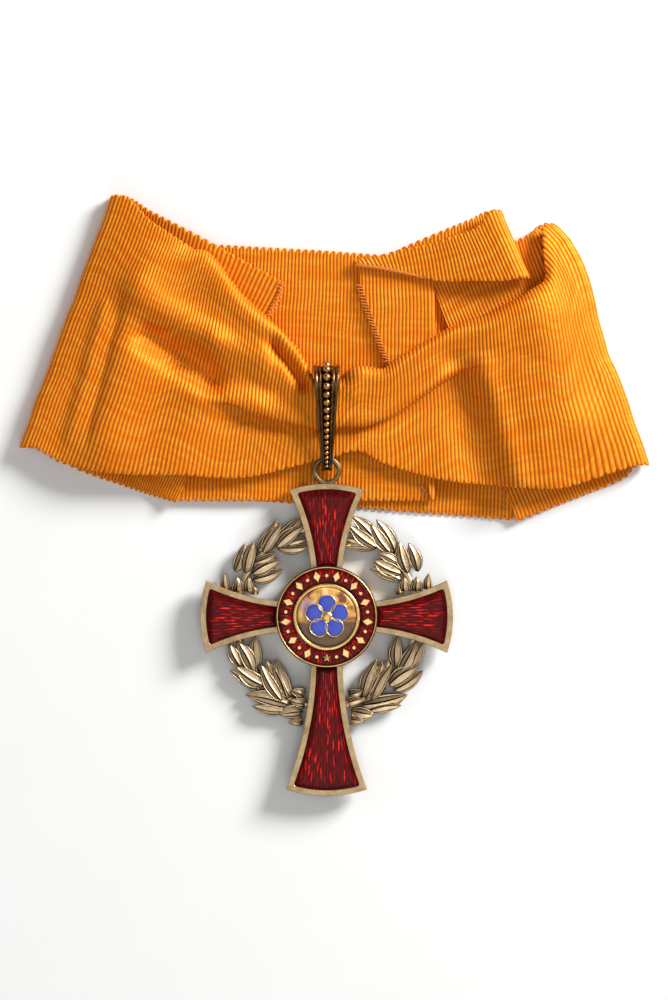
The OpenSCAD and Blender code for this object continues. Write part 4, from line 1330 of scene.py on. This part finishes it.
# Leaves of the right side as on a dial that starts at the side arm, radii in shares of the wreath's and
# widths in shares of a full leaf's
LEAVES = [
    Leaf(76, 1.15, 56, 1.0, 0.9),
    Leaf(76, 1.04, 54, 0.95, 0.9),
    Leaf(76, 0.80, 54, 0.94, 0.7),
    Leaf(76, 0.88, 62, 0.91, 0.5),
    Leaf(63, 1.21, 43, 1.05, 0.85),
    Leaf(64, 1.14, 45, 1.0, 0.9),
    Leaf(42, 1.22, 26, 1.13, 0.85),
    Leaf(46, 1.16, 28, 1.02, 0.95),
    Leaf(51, 0.90, 37, 0.99, 0.7),
    Leaf(50, 0.81, 30, 0.95, 1),
    Leaf(48, 0.71, 26, 0.92, 0.8),
    Leaf(23, 1.23, 15, 1.16, 0.6),
    Leaf(24, 1.09, 16, 1.03, 0.8),
    Leaf(27, 0.97, 18, 0.91, 0.8),
    Leaf(23, 0.87, 17, 0.84, 0.5),
    Leaf(-15, 1.12, -30, 1.1, 0.8),
    Leaf(-15, 1.03, -38, 1.02, 1),
    Leaf(-15, 0.82, -36, 0.95, 0.9),
    Leaf(-29, 1.23, -48, 1.11, 0.8),
    Leaf(-29, 1.15, -48, 1.03, 1.1),
    Leaf(-44, 1.25, -69, 1.06, 1.1),
    Leaf(-50, 1.29, -66, 1.15, 0.7),
    Leaf(-35, 0.83, -46, 0.90, 0.7),
    Leaf(-36, 0.90, -62, 1.06, 0.9),
    Leaf(-39, 0.80, -65, 1.02, 1),
    Leaf(-40, 0.73, -66, 0.98, 0.9),
    Leaf(-64, 0.91, -74, 0.91, 0.8),
    Leaf(-66, 1.01, -76, 0.99, 0.7),
    Leaf(-64, 1.21, -76, 1.08, 0.9),
    Leaf(-70, 1.25, -77, 1.18, 0.6),
]


def leaf_mesh(leaf, side, order, wreath, leaf_z):
    """Points, faces and painted shade of one pointed leaf with a sharp rib and raised edges."""

    def polar(angle, share):
        a = math.radians(angle)
        return np.array([side * math.cos(a), math.sin(a)]) * wreath.radius * share

    base, tip = polar(leaf.base_angle, leaf.base_r), polar(leaf.tip_angle, leaf.tip_r)
    run = tip - base
    length = np.linalg.norm(run)
    along = run / length
    normal = np.array([-along[1], along[0]])
    stations, across = 19, 33
    t = np.linspace(0, 1, stations)[:, None]
    v = np.sin(np.linspace(-1, 1, across) * 1.45)[None, :] / math.sin(1.45)
    # Short leaves stand on a broad foot, long ones narrow to a stalk
    foot = np.clip((5 * MM - length) / (1.5 * MM), 0, 1)
    broad = (t + 0.16 * foot) ** (0.7 - 0.3 * foot) * (1 - t) ** 0.95
    half = wreath.leaf_w * leaf.width / 2 * 1.2 * broad / broad.max() + 0.03 * MM
    bend = 0.05 * length * np.sin(np.pi * t) * (1 if order % 2 else -1)
    x = base[0] + along[0] * t * length + normal[0] * (v * half + bend)
    y = base[1] + along[1] * t * length + normal[1] * (v * half + bend)
    # Two flat halves fall from the middle rib to thin raised edges
    body = np.sin(np.pi * np.clip(t * 0.8 + 0.14, 0, 1)) ** 0.5
    ridge = np.exp(-((v / 0.07) ** 2))
    border = np.exp(-(((np.abs(v) - 0.82) / 0.09) ** 2))
    roof = 1 - np.abs(v)
    height = wreath.leaf_t + wreath.rib_h * body * (0.1 + 0.7 * roof + 0.25 * ridge + 0.45 * border)
    # The middle leaves of a fan lie over the outer ones, and every tip over the next fan's foot
    layer = 0.42 * MM * max(0, 1 - abs(leaf.tip_r - 1) / 0.25) + 0.12 * MM * (order % 2) + 0.3 * MM * t
    z = leaf_z + layer + height * (1 - 0.5 * np.abs(v) ** 20)
    upper = np.stack([x, y, z], -1)
    lower = upper.copy()
    lower[..., 2] = leaf_z
    # Painted shade: one half darker than the other, dark lines beside the rib and inside the edges, a dark
    # outline, a darker foot under the next fan's tips and a dark underside
    line_shade = np.exp(-(((v - 0.13) / 0.08) ** 2)) + np.exp(-(((np.abs(v) - 0.66) / 0.07) ** 2))
    outline = np.clip((np.abs(v) - 0.88) / 0.04, 0, 1)
    half_shade = np.clip(1 - ridge - border, 0, 1) * np.where(v > 0, 0.42, 0.06)
    dark = (half_shade + 0.85 * line_shade + outline + 0.5 * (1 - t) ** 4) * np.ones_like(height)
    upper, lower, dark = upper[:, ::-1], lower[:, ::-1], dark[:, ::-1]
    points = np.concatenate([upper.reshape(-1, 3), lower.reshape(-1, 3)])
    return points, shell_faces(stations, across), np.concatenate([dark.ravel(), np.ones(dark.size)])


class BADGE_OT_wreath(bpy.types.Operator):
    """Builds the laurel wreath behind the cross"""

    bl_idname = "badge.wreath"
    bl_label = "Laurel wreath"

    def execute(self, context):
        wreath = context.scene.badge_wreath
        floor_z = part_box("laurel_wreath")[0].z
        leaves = [
            leaf_mesh(leaf, side, order, wreath, floor_z + 0.3 * MM)
            for side in (1, -1)
            for order, leaf in enumerate(LEAVES)
        ]
        stem = stem_ring(wreath, floor_z)
        points, faces = merged([leaf[:2] for leaf in leaves] + [stem])
        # The leaves bring their painted shade, and the stem is evenly darkened
        patina_and_shade = np.concatenate([leaf[2] for leaf in leaves] + [np.full(len(stem[0]), 0.35)])
        piece = new_piece("gilt_wreath", points, faces, materials()["leaf_gilt"], patina_and_shade=patina_and_shade)
        seat(piece, "gilt", "laurel_wreath")
        return {"FINISHED"}


STEM_W = 1.5 * MM
STEM_T = 0.9 * MM


def stem_ring(wreath, floor_z):
    """The round stem that carries the leaves, with small knots along it."""
    turns, around = 180, 12
    a = np.linspace(0, math.tau, turns, endpoint=False)[:, None]
    b = np.linspace(0, math.tau, around, endpoint=False)[None, :]
    knot = 1 + 0.18 * np.cos(24 * a) ** 4
    r = wreath.radius + STEM_W / 2 * knot * np.cos(b)
    z = floor_z + STEM_T / 2 + STEM_T / 2 * knot * np.sin(b)
    points = np.stack([r * np.cos(a), r * np.sin(a), z * np.ones_like(r)], -1)
    return points.reshape(-1, 3), tube_faces(turns, around)


# The engraving of the red ring: cuts round it, and their length
RING_CUTS = 90
RING_CUT_LENGTH = 2.4 * MM
# A turned piece's middle, as good as closed
AXIS = 1e-6


def lathe(name, profile, material, turns=128, uv_name="", patina_and_shade=None):
    """A closed ring or disc turned round Z. profile runs from its inner foot over its top to its outer."""
    profile = np.asarray(profile, float)
    a = np.linspace(0, math.tau, turns, endpoint=False)
    r, z = profile[:, 0], profile[:, 1]
    height = np.broadcast_to(z, (turns, len(z)))
    points = np.stack([np.outer(np.cos(a), r), np.outer(np.sin(a), r), height], -1)
    uv = None
    if uv_name:
        cut = np.outer(a, np.ones_like(r)) / math.tau * RING_CUTS
        along = np.outer(np.ones_like(a), r) / RING_CUT_LENGTH
        uv = np.stack([cut, along], -1).reshape(-1, 2)
    dark = None if patina_and_shade is None else np.broadcast_to(patina_and_shade, (turns, len(r))).ravel()
    faces = tube_faces(turns, len(r))
    return new_piece(name, points.reshape(-1, 3), faces, material, uv=uv, uv_name=uv_name, patina_and_shade=dark)


def geometry_tree(name, inputs):
    """A Geometry Nodes tree with its input node and the identifiers of its named inputs."""
    tree = bpy.data.node_groups.new(name, "GeometryNodeTree")
    tree.interface.new_socket(name="Geometry", in_out="INPUT", socket_type="NodeSocketGeometry")
    sockets = {}
    for label, kind in inputs.items():
        sockets[label] = tree.interface.new_socket(
            name=label, in_out="INPUT", socket_type=kind
        ).identifier
    tree.interface.new_socket(name="Geometry", in_out="OUTPUT", socket_type="NodeSocketGeometry")
    return tree, add(tree, "NodeGroupInput"), sockets


def grow(tree, sockets, values, name, points, edges, material):
    """Runs a tree on a line of points and gives the result as a plain mesh object."""
    mesh = bpy.data.meshes.new(name)
    mesh.from_pydata(points, edges, [])
    mesh.materials.append(material)
    piece = bpy.data.objects.new(name, mesh)
    bpy.context.scene.collection.objects.link(piece)
    modifier = piece.modifiers.new("grow", "NODES")
    modifier.node_group = tree
    for label, value in values.items():
        modifier[sockets[label]] = value
    apply_modifiers(piece)
    return piece


def bead_tree(material):
    """Beads down a line, crowded towards its end and smaller there."""
    tree, given, sockets = geometry_tree(
        "bead_row",
        {
            "Count": "NodeSocketInt",
            "Radius": "NodeSocketFloat",
            "Taper": "NodeSocketFloat",
            "Crowd": "NodeSocketFloat",
        },
    )
    line = add(tree, "GeometryNodeMeshToCurve", {"Mesh": given.outputs["Geometry"]})
    points = add(tree, "GeometryNodePoints", {"Count": given.outputs["Count"]})
    index = add(tree, "GeometryNodeInputIndex")
    last = add(tree, "ShaderNodeMath", {0: given.outputs["Count"], 1: 1.0}, operation="SUBTRACT")
    share = add(tree, "ShaderNodeMath", {0: index, 1: last}, operation="DIVIDE")
    left = add(tree, "ShaderNodeMath", {0: 1.0, 1: share}, operation="SUBTRACT")
    crowd = add(
        tree, "ShaderNodeMath", {0: left, 1: given.outputs["Crowd"], 2: 1.0}, operation="MULTIPLY_ADD"
    )
    factor = add(tree, "ShaderNodeMath", {0: share, 1: crowd}, operation="MULTIPLY")
    sample = add(tree, "GeometryNodeSampleCurve", {"Curves": line, "Factor": factor}, mode="FACTOR")
    placed = add(
        tree, "GeometryNodeSetPosition", {"Geometry": points, "Position": sample.outputs["Position"]}
    )
    shrink = add(tree, "ShaderNodeMath", {0: share, 1: given.outputs["Taper"]}, operation="MULTIPLY")
    size = add(tree, "ShaderNodeMath", {0: 1.0, 1: shrink}, operation="SUBTRACT")
    radius = add(tree, "ShaderNodeMath", {0: size, 1: given.outputs["Radius"]}, operation="MULTIPLY")
    bead = add(tree, "GeometryNodeMeshUVSphere", {"Segments": 20, "Rings": 12, "Radius": 1.0})
    each = add(
        tree, "GeometryNodeInstanceOnPoints", {"Points": placed, "Instance": bead, "Scale": radius}
    )
    return finish_tree(tree, each, material), sockets


def stitch_tree(material):
    """Short threads along a line, each laid slantwise across it."""
    tree, given, sockets = geometry_tree(
        "stitch_row",
        {
            "Count": "NodeSocketInt",
            "Length": "NodeSocketFloat",
            "Thread": "NodeSocketFloat",
            "Slant": "NodeSocketFloat",
            "Spread": "NodeSocketFloat",
        },
    )
    line = add(tree, "GeometryNodeMeshToCurve", {"Mesh": given.outputs["Geometry"]})
    places = add(
        tree, "GeometryNodeCurveToPoints", {"Curve": line, "Count": given.outputs["Count"]}, mode="COUNT"
    )
    way = add(tree, "ShaderNodeSeparateXYZ", {"Vector": places.outputs["Tangent"]})
    turn = add(tree, "ShaderNodeMath", {0: way.outputs["Y"], 1: way.outputs["X"]}, operation="ARCTAN2")
    index = add(tree, "GeometryNodeInputIndex")
    # Every other stitch may lean the other way, and none lies quite like the last
    parity = add(tree, "ShaderNodeMath", {0: index, 1: 2.0}, operation="MODULO")
    lean = add(
        tree,
        "ShaderNodeMath",
        {0: parity, 1: given.outputs["Spread"], 2: given.outputs["Slant"]},
        operation="MULTIPLY_ADD",
    )
    chance = add(tree, "FunctionNodeRandomValue", {2: -0.25, 3: 0.25, "Seed": 5}, data_type="FLOAT")
    angle = add(tree, "ShaderNodeMath", {0: turn, 1: lean}, operation="ADD")
    uneven = add(tree, "ShaderNodeMath", {0: angle, 1: chance.outputs[1]}, operation="ADD")
    turned = add(tree, "ShaderNodeCombineXYZ", {"Z": uneven})
    size = add(
        tree,
        "ShaderNodeCombineXYZ",
        {"X": given.outputs["Length"], "Y": given.outputs["Thread"], "Z": given.outputs["Thread"]},
    )
    thread = add(tree, "GeometryNodeMeshUVSphere", {"Segments": 8, "Rings": 8, "Radius": 0.5})
    each = add(
        tree,
        "GeometryNodeInstanceOnPoints",
        {"Points": places, "Instance": thread, "Rotation": turned, "Scale": size},
    )
    return finish_tree(tree, each, material), sockets


def finish_tree(tree, instances, material, smooth=True):
    """Realizes the instances, gives them their material and closes the tree."""
    real = add(tree, "GeometryNodeRealizeInstances", {"Geometry": instances})
    shaded = add(tree, "GeometryNodeSetShadeSmooth", {"Geometry": real, "Shade Smooth": smooth})
    coloured = add(tree, "GeometryNodeSetMaterial", {"Geometry": shaded, "Material": material})
    add(tree, "NodeGroupOutput", {"Geometry": coloured})
    return tree


def mark_tree(material):
    """Raised marks round a circle, each a flat cone of a few sides that is turned outwards."""
    tree, given, sockets = geometry_tree(
        "ring_marks",
        {
            "Count": "NodeSocketInt",
            "Radius": "NodeSocketFloat",
            "Start": "NodeSocketFloat",
            "Step": "NodeSocketFloat",
            "Sides": "NodeSocketInt",
            "Size": "NodeSocketVector",
            "Height": "NodeSocketFloat",
        },
    )
    points = add(tree, "GeometryNodePoints", {"Count": given.outputs["Count"]})
    index = add(tree, "GeometryNodeInputIndex")
    angle = add(
        tree,
        "ShaderNodeMath",
        {0: index, 1: given.outputs["Step"], 2: given.outputs["Start"]},
        operation="MULTIPLY_ADD",
    )
    cosine = add(tree, "ShaderNodeMath", {0: angle}, operation="COSINE")
    sine = add(tree, "ShaderNodeMath", {0: angle}, operation="SINE")
    x = add(tree, "ShaderNodeMath", {0: cosine, 1: given.outputs["Radius"]}, operation="MULTIPLY")
    y = add(tree, "ShaderNodeMath", {0: sine, 1: given.outputs["Radius"]}, operation="MULTIPLY")
    place = add(tree, "ShaderNodeCombineXYZ", {"X": x, "Y": y, "Z": given.outputs["Height"]})
    placed = add(tree, "GeometryNodeSetPosition", {"Geometry": points, "Position": place})
    turned = add(tree, "ShaderNodeCombineXYZ", {"Z": angle})
    mark = add(
        tree,
        "GeometryNodeMeshCone",
        {"Vertices": given.outputs["Sides"], "Radius Top": 0.82, "Radius Bottom": 1.0, "Depth": 1.0},
    )
    each = add(
        tree,
        "GeometryNodeInstanceOnPoints",
        {"Points": placed, "Instance": mark, "Rotation": turned, "Scale": given.outputs["Size"]},
    )
    return finish_tree(tree, each, material, smooth=False), sockets


def star_mesh(radius, waist, low, high, middle):
    """A five-pointed star with facets that rise to its middle, as points and faces."""
    rim = []
    for z in (low, high):
        for i in range(10):
            r = radius * (1 if i % 2 == 0 else waist)
            a = math.radians(36 * i)
            rim.append([middle[0] + r * math.sin(a), middle[1] + r * math.cos(a), z])
    points = rim + [[*middle, high + 0.12 * MM], [*middle, low]]
    faces = []
    for i in range(10):
        j = (i + 1) % 10
        faces += [(i, 10 + i, 10 + j, j), (10 + j, 10 + i, 20), (i, j, 21)]
    return points, faces


# The turned medallion: its inner ring, outer rim and well, the marks round it and the flower's parts
INNER_RING_R = 7.35 * MM
INNER_RING_W = 0.8 * MM
COLLET_RIM = 0.5 * MM
WELL_DEPTH = 0.7 * MM
MARKS = 12
PETAL_R = 1.95 * MM
PETAL_RING_R = 2.75 * MM
HEART_R = 1.35 * MM
HEART_H = 0.55 * MM


class BADGE_OT_medallion(bpy.types.Operator):
    """Builds the raised medallion: its rims, red ring, gold marks, painted centre and flower"""

    bl_idname = "badge.medallion"
    bl_label = "Medallion"

    def execute(self, context):
        finish = materials()
        seat(self.collet(finish["bright_gold"]), "gilt", "medallion_frame")
        back = bevelled_copy("reverse_medallion", "gilt_reverse", finish["gilt"], 0.3 * MM)
        seat(back, "gilt", "reverse_medallion")
        low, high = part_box("medallion_ring_enamel")
        outer, inner = high.x, INNER_RING_R + SEAT_GAP
        middle, half = (outer + inner) / 2, (outer - inner) / 2
        across = np.linspace(-1, 1, 17)
        profile = [[inner, low.z]]
        edge_z = high.z - 0.05 * MM
        profile += [[middle + half * v, edge_z + 0.16 * MM * (1 - v**4)] for v in across]
        profile += [[outer, low.z]]
        # Painted shade at the ring's inner and outer edges, beside the rims
        dark = np.concatenate([[1], 0.8 * np.abs(across) ** 6, [1]])
        ring = lathe("red_ring", profile, finish["red"], uv_name="engraving", patina_and_shade=dark)
        seat(ring, "red_enamel", "medallion_ring_enamel")
        self.ornaments(middle, high.z + 0.22 * MM, finish["bright_gold"])
        low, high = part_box("medallion_centre_enamel")
        dome = 0.12 * MM
        profile = [[AXIS, low.z], [AXIS, high.z + dome]]
        profile += [[high.x * v, high.z + dome * (1 - v**3)] for v in np.linspace(0.08, 1, 12)]
        profile += [[high.x, low.z]]
        disc = lathe("painted_centre", profile, finish["amber"])
        seat(disc, "amber_enamel", "medallion_centre_enamel")
        self.flower(high.z + 0.1 * MM, finish)
        return {"FINISHED"}

    def collet(self, gold):
        """The turned collet: the well, the inner ring, the red ring's channel and the outer rim."""
        low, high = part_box("medallion_frame")
        r, top, floor = high.x, high.z, high.z - WELL_DEPTH
        well, rim = INNER_RING_R - INNER_RING_W, r - COLLET_RIM
        profile = [(AXIS, low.z), (AXIS, floor), (well, floor), (well, top - 0.15 * MM)]
        profile += [(well + 0.15 * MM, top), (well + 0.35 * MM, top + 0.06 * MM)]
        profile += [(INNER_RING_R - 0.15 * MM, top), (INNER_RING_R, top - 0.15 * MM)]
        profile += [(INNER_RING_R, floor), (rim, floor), (rim, top - 0.08 * MM), (rim + 0.06 * MM, top)]
        profile += [
            (r - 0.3 * MM, top), (r - 0.2 * MM, top - 0.1 * MM), (r - 0.06 * MM, top - 0.45 * MM)
        ]
        profile += [(r, top - 0.8 * MM), (r, low.z)]
        # Painted shade on the floors of the well and the channel, and on the outer rim's bevel and wall
        dark = [1.0 if z <= floor else 0.8 if away > r - 0.25 * MM else 0.0 for away, z in profile]
        return lathe("gold_collet", profile, gold, turns=160, patina_and_shade=np.array(dark))

    def ornaments(self, radius, z, gold):
        """Lozenges with pellets between them and one star at the foot of the ring."""
        step = math.tau / (MARKS + 1)
        tree, sockets = mark_tree(gold)
        lozenge = {
            "Count": MARKS,
            "Radius": radius,
            "Start": step - math.pi / 2,
            "Step": step,
            "Sides": 4,
            "Size": (1.32 * MM, 0.88 * MM, 0.3 * MM),
            "Height": z,
        }
        pellet = dict(
            lozenge,
            Count=MARKS + 1,
            Start=step / 2 - math.pi / 2,
            Sides=16,
            Size=(0.42 * MM, 0.42 * MM, 0.3 * MM),
        )
        parts = [
            grow(tree, sockets, lozenge, "gold_lozenges", [(0, 0, 0)], [], gold),
            grow(tree, sockets, pellet, "gold_pellets", [(0, 0, 0)], [], gold),
        ]
        points, faces = star_mesh(0.95 * MM, 0.42, z - 0.15 * MM, z + 0.1 * MM, (0, -radius))
        parts.append(new_piece("gold_star", points, faces, gold, smooth=False))
        seat(join(parts, "gold_marks"), "gilt", "medallion_ornaments")

    def flower(self, z, finish):
        """Five blue petals in gold cloisons about a gold heart."""
        parts = []
        for i in range(5):
            parts += petal_parts(math.radians(90 + 72 * i), z, finish)
        heart = [[AXIS, z], [AXIS, z + HEART_H]]
        heart += [
            [HEART_R * math.sin(a), z + HEART_H * math.cos(a)] for a in np.linspace(0.2, math.pi / 2, 8)
        ]
        parts.append(lathe("heart", heart, finish["bright_gold"], turns=40))
        seat(join(parts, "cinquefoil"), "blue_enamel", "centre_flower")


# A petal's dome from its edge inwards: share of its radius, and height in mm
PETAL_DOME = [(1, 0), (0.97, 0.12), (0.85, 0.2), (0.6, 0.26), (0.3, 0.3)]
CLOISON_R = 0.14 * MM


def petal_parts(angle, z, finish):
    """A domed petal at an angle round the heart, and the gold wire round it."""
    x, y = heading(angle) * PETAL_RING_R
    a = np.linspace(0, math.tau, 36, endpoint=False)
    # A petal is broad at its outer end, with a slight notch
    off = (a - angle + math.pi) % math.tau - math.pi
    r = PETAL_R * (1 + 0.1 * np.cos(off) - 0.08 * np.exp(-((off / 0.3) ** 2)))

    def ring(reach, height):
        return np.stack([x + reach * np.cos(a), y + reach * np.sin(a), np.full(len(a), height)], -1)

    points, faces = bridge([ring(r * share, z + height * MM) for share, height in PETAL_DOME])
    petal = new_piece("petal", points, faces, finish["blue"])
    turns = np.linspace(0, math.tau, 8, endpoint=False)
    wire_z = z + 0.16 * MM
    wire = [ring(r + CLOISON_R * math.cos(b), wire_z + CLOISON_R * math.sin(b)) for b in turns]
    points = np.stack(wire, 1).reshape(-1, 3)
    return [petal, new_piece("wire", points, tube_faces(len(a), len(turns)), finish["bright_gold"])]


def join(parts, name):
    """Joins mesh objects into one, keeping their materials."""
    bpy.ops.object.select_all(action="DESELECT")
    for part in parts:
        part.select_set(True)
    bpy.context.view_layer.objects.active = parts[0]
    bpy.ops.object.join()
    parts[0].name = name
    return parts[0]


BAIL_WALL = 0.75 * MM
BAIL_TOP_W = 5.9 * MM
BAIL_FOOT_W = 2.4 * MM
BAIL_FOOT_R = 1.45 * MM
BAIL_TOP_R = 4.2 * MM
BAIL_STEP = 0.7 * MM
# Cross-section of the bail's outer face from side to middle: place in half widths, height in mm
BAIL_RAILS = [
    (1.0, -0.2),
    (0.97, 0.05),
    (0.88, 0.16),
    (0.76, 0.08),
    (0.68, -0.14),
    (0.6, 0.0),
    (0.52, 0.12),
    (0.43, 0.0),
    (0.38, -0.24),
    (0.0, -0.3),
]
# Places of its inner face, in half widths
BAIL_INNER = (-0.9, -0.4, 0.4, 0.9)


def bail_circles():
    """Middles of the bail's round foot and head in the plane of its depth, and the angles of its sides."""
    low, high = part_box("suspension_bail")
    foot = np.array([low.y + BAIL_FOOT_R, low.z + BAIL_FOOT_R])
    head = np.array([high.y - BAIL_TOP_R, low.z + BAIL_TOP_R])
    tilt = math.atan2(head[1] - foot[1], head[0] - foot[0])
    turn = math.asin((BAIL_TOP_R - BAIL_FOOT_R) / np.linalg.norm(head - foot))
    return foot, head, tilt + math.pi / 2 + turn, tilt - math.pi / 2 - turn


def bail_path():
    """Outline of the bail in the plane of its depth, as places and outward normals from the foot round."""
    foot, head, up, down = bail_circles()
    bends = [
        (foot, BAIL_FOOT_R, np.linspace(up, down + math.tau, 14)),
        (head, BAIL_TOP_R, np.linspace(down, up, 30)),
    ]
    normals = [heading(angle) for _, _, angles in bends for angle in angles]
    places = [middle + heading(angle) * radius for middle, radius, angles in bends for angle in angles]
    return np.array(places), np.array(normals)


def densify(places, normals, step):
    """Adds points on the long straight runs of a closed outline."""
    out_p, out_n = [], []
    count = len(places)
    for i in range(count):
        j = (i + 1) % count
        parts = max(1, int(np.linalg.norm(places[j] - places[i]) / step))
        for k in range(parts):
            t = k / parts
            out_p.append(lerp(places[i], places[j], t))
            n = lerp(normals[i], normals[j], t)
            out_n.append(n / np.linalg.norm(n))
    return np.array(out_p), np.array(out_n)


class BADGE_OT_bail(bpy.types.Operator):
    """Builds the tapered bail with its rails and its row of beads"""

    bl_idname = "badge.bail"
    bl_label = "Bail"

    def execute(self, context):
        bail = context.scene.badge_bail
        low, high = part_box("suspension_bail")
        places, normals = densify(*bail_path(), BAIL_STEP)
        share = np.clip((places[:, 0] - low.y) / (high.y - low.y), 0, 1)
        half = lerp(BAIL_FOOT_W, BAIL_TOP_W, share) / 2
        outer = BAIL_RAILS + [(-u, h) for u, h in BAIL_RAILS[-2::-1]]
        section = [(u, h * MM) for u, h in outer] + [(u, -BAIL_WALL) for u in BAIL_INNER]
        points, patina_and_shade = [], []
        for (y, z), (ny, nz), w in zip(places, normals, half):
            scale = lerp(0.6, 1.0, (w * 2 - BAIL_FOOT_W) / (BAIL_TOP_W - BAIL_FOOT_W))
            for u, h in section:
                deep = h * scale if h > -BAIL_WALL else h
                points.append([u * w, y + ny * deep, z + nz * deep])
                patina_and_shade.append(np.clip((0.05 * MM - h) / (0.25 * MM), 0, 0.9))
        faces = tube_faces(len(places), len(section))[:, ::-1]
        body = new_piece("bail_body", points, faces, materials()["dark_gilt"], patina_and_shade=patina_and_shade)
        # The beads run down the front, from the top of the head to the foot
        front = bead_line()
        edges = [(i, i + 1) for i in range(len(front) - 1)]
        gold = materials()["bead_gold"]
        tree, sockets = bead_tree(gold)
        values = {"Count": bail.bead_count, "Radius": bail.bead_d / 2, "Taper": 0.6, "Crowd": 0.42}
        beads = grow(tree, sockets, values, "bail_beads", front, edges, gold)
        seat(join([body, beads], "beaded_bail"), "dark_gilt", "suspension_bail")
        return {"FINISHED"}


def bead_line():
    """The middle line of the beads, over the head and down the front of the bail."""
    foot, head, up, _ = bail_circles()
    line = [
        (0, *(head + heading(angle) * BAIL_TOP_R)) for angle in np.linspace(math.radians(12), up, 16)
    ]
    start, end = head + heading(up) * BAIL_TOP_R, foot + heading(up) * BAIL_FOOT_R
    return line + [(0, *lerp(start, end, t)) for t in np.linspace(0.05, 1.0, 20)]


SENSOR_MM = 36
FLOOR_HALF = 3.0
Lamp = namedtuple("Lamp", "name place width watts")
# Places are in metres from the middle of the picture
LAMPS = [
    Lamp("key", (0.74, 0.58, 0.48), 0.4, 17.0),
    Lamp("overhead", (0.05, -0.25, 1.5), 1.0, 3.6),
    Lamp("front", (0.15, -0.95, 0.7), 0.7, 2.2),
    Lamp("fill", (-0.8, 0.1, 0.45), 0.6, 0.9),
]
SKY_STRENGTH = 0.2


class BADGE_OT_stage(bpy.types.Operator):
    """Sets the floor, the soft lights and the camera above the badge"""

    bl_idname = "badge.stage"
    bl_label = "Stage"

    def execute(self, context):
        scene = context.scene
        stage = scene.badge_stage
        s = FLOOR_HALF
        corners = [(-s, -s, 0), (s, -s, 0), (s, s, 0), (-s, s, 0)]
        new_piece("floor", corners, [(0, 1, 2, 3)], paper_floor(stage), smooth=False)
        middle = Vector((*stage.centre, 0))
        camera = bpy.data.objects.new("camera", bpy.data.cameras.new("camera"))
        camera.data.sensor_width = SENSOR_MM
        camera.data.lens = SENSOR_MM * stage.camera_h / stage.view_h
        camera.data.clip_end = 10
        camera.location = middle + Vector((0, 0, stage.camera_h))
        scene.collection.objects.link(camera)
        scene.camera = camera
        world = bpy.data.worlds.new("studio")
        world.use_nodes = True
        sky = world.node_tree.nodes["Background"]
        sky.inputs[0].default_value = linear("#ffffff")
        sky.inputs[1].default_value = SKY_STRENGTH
        scene.world = world
        for name, place, width, watts in LAMPS:
            light = bpy.data.lights.new(name, "AREA")
            light.shape = "DISK"
            light.size = width
            light.energy = watts
            lamp = bpy.data.objects.new(name, light)
            lamp.location = middle + Vector(place)
            lamp.rotation_euler = (middle - lamp.location).to_track_quat("-Z", "Y").to_euler()
            scene.collection.objects.link(lamp)
        scene.view_settings.view_transform = "Standard"
        return {"FINISHED"}


class BADGE_PT_panel(bpy.types.Panel):
    """Lists the sizes and the steps of the badge"""

    bl_label = "Order neck badge"
    bl_idname = "BADGE_PT_panel"
    bl_space_type = "VIEW_3D"
    bl_region_type = "UI"
    bl_category = "Badge"

    def draw(self, context):
        for key, group in SETTINGS.items():
            box = self.layout.box()
            for name in group.__annotations__:
                box.prop(getattr(context.scene, key), name)
        for step in STEPS:
            self.layout.operator(step.bl_idname)


SETTINGS = {
    "badge_ribbon": RibbonSettings,
    "badge_cross": CrossSettings,
    "badge_wreath": WreathSettings,
    "badge_bail": BailSettings,
    "badge_stage": StageSettings,
}
STEPS = (
    BADGE_OT_ribbon_band,
    BADGE_OT_back_panels,
    BADGE_OT_strap_loop,
    BADGE_OT_seams,
    BADGE_OT_cross,
    BADGE_OT_wreath,
    BADGE_OT_medallion,
    BADGE_OT_bail,
    BADGE_OT_stage,
)


def register():
    """Makes the classes and the scene's settings known."""
    for cls in (*SETTINGS.values(), *STEPS, BADGE_PT_panel):
        bpy.utils.register_class(cls)
    for key, group in SETTINGS.items():
        setattr(bpy.types.Scene, key, PointerProperty(type=group))


def unregister():
    """Takes them away again."""
    for key in SETTINGS:
        delattr(bpy.types.Scene, key)
    for cls in (BADGE_PT_panel, *STEPS[::-1], *list(SETTINGS.values())[::-1]):
        bpy.utils.unregister_class(cls)


def main():
    """Builds the badge."""
    register()
    for step in STEPS:
        group, name = step.bl_idname.split(".")
        getattr(getattr(bpy.ops, group), name)()


if __name__ == "__main__":
    main()
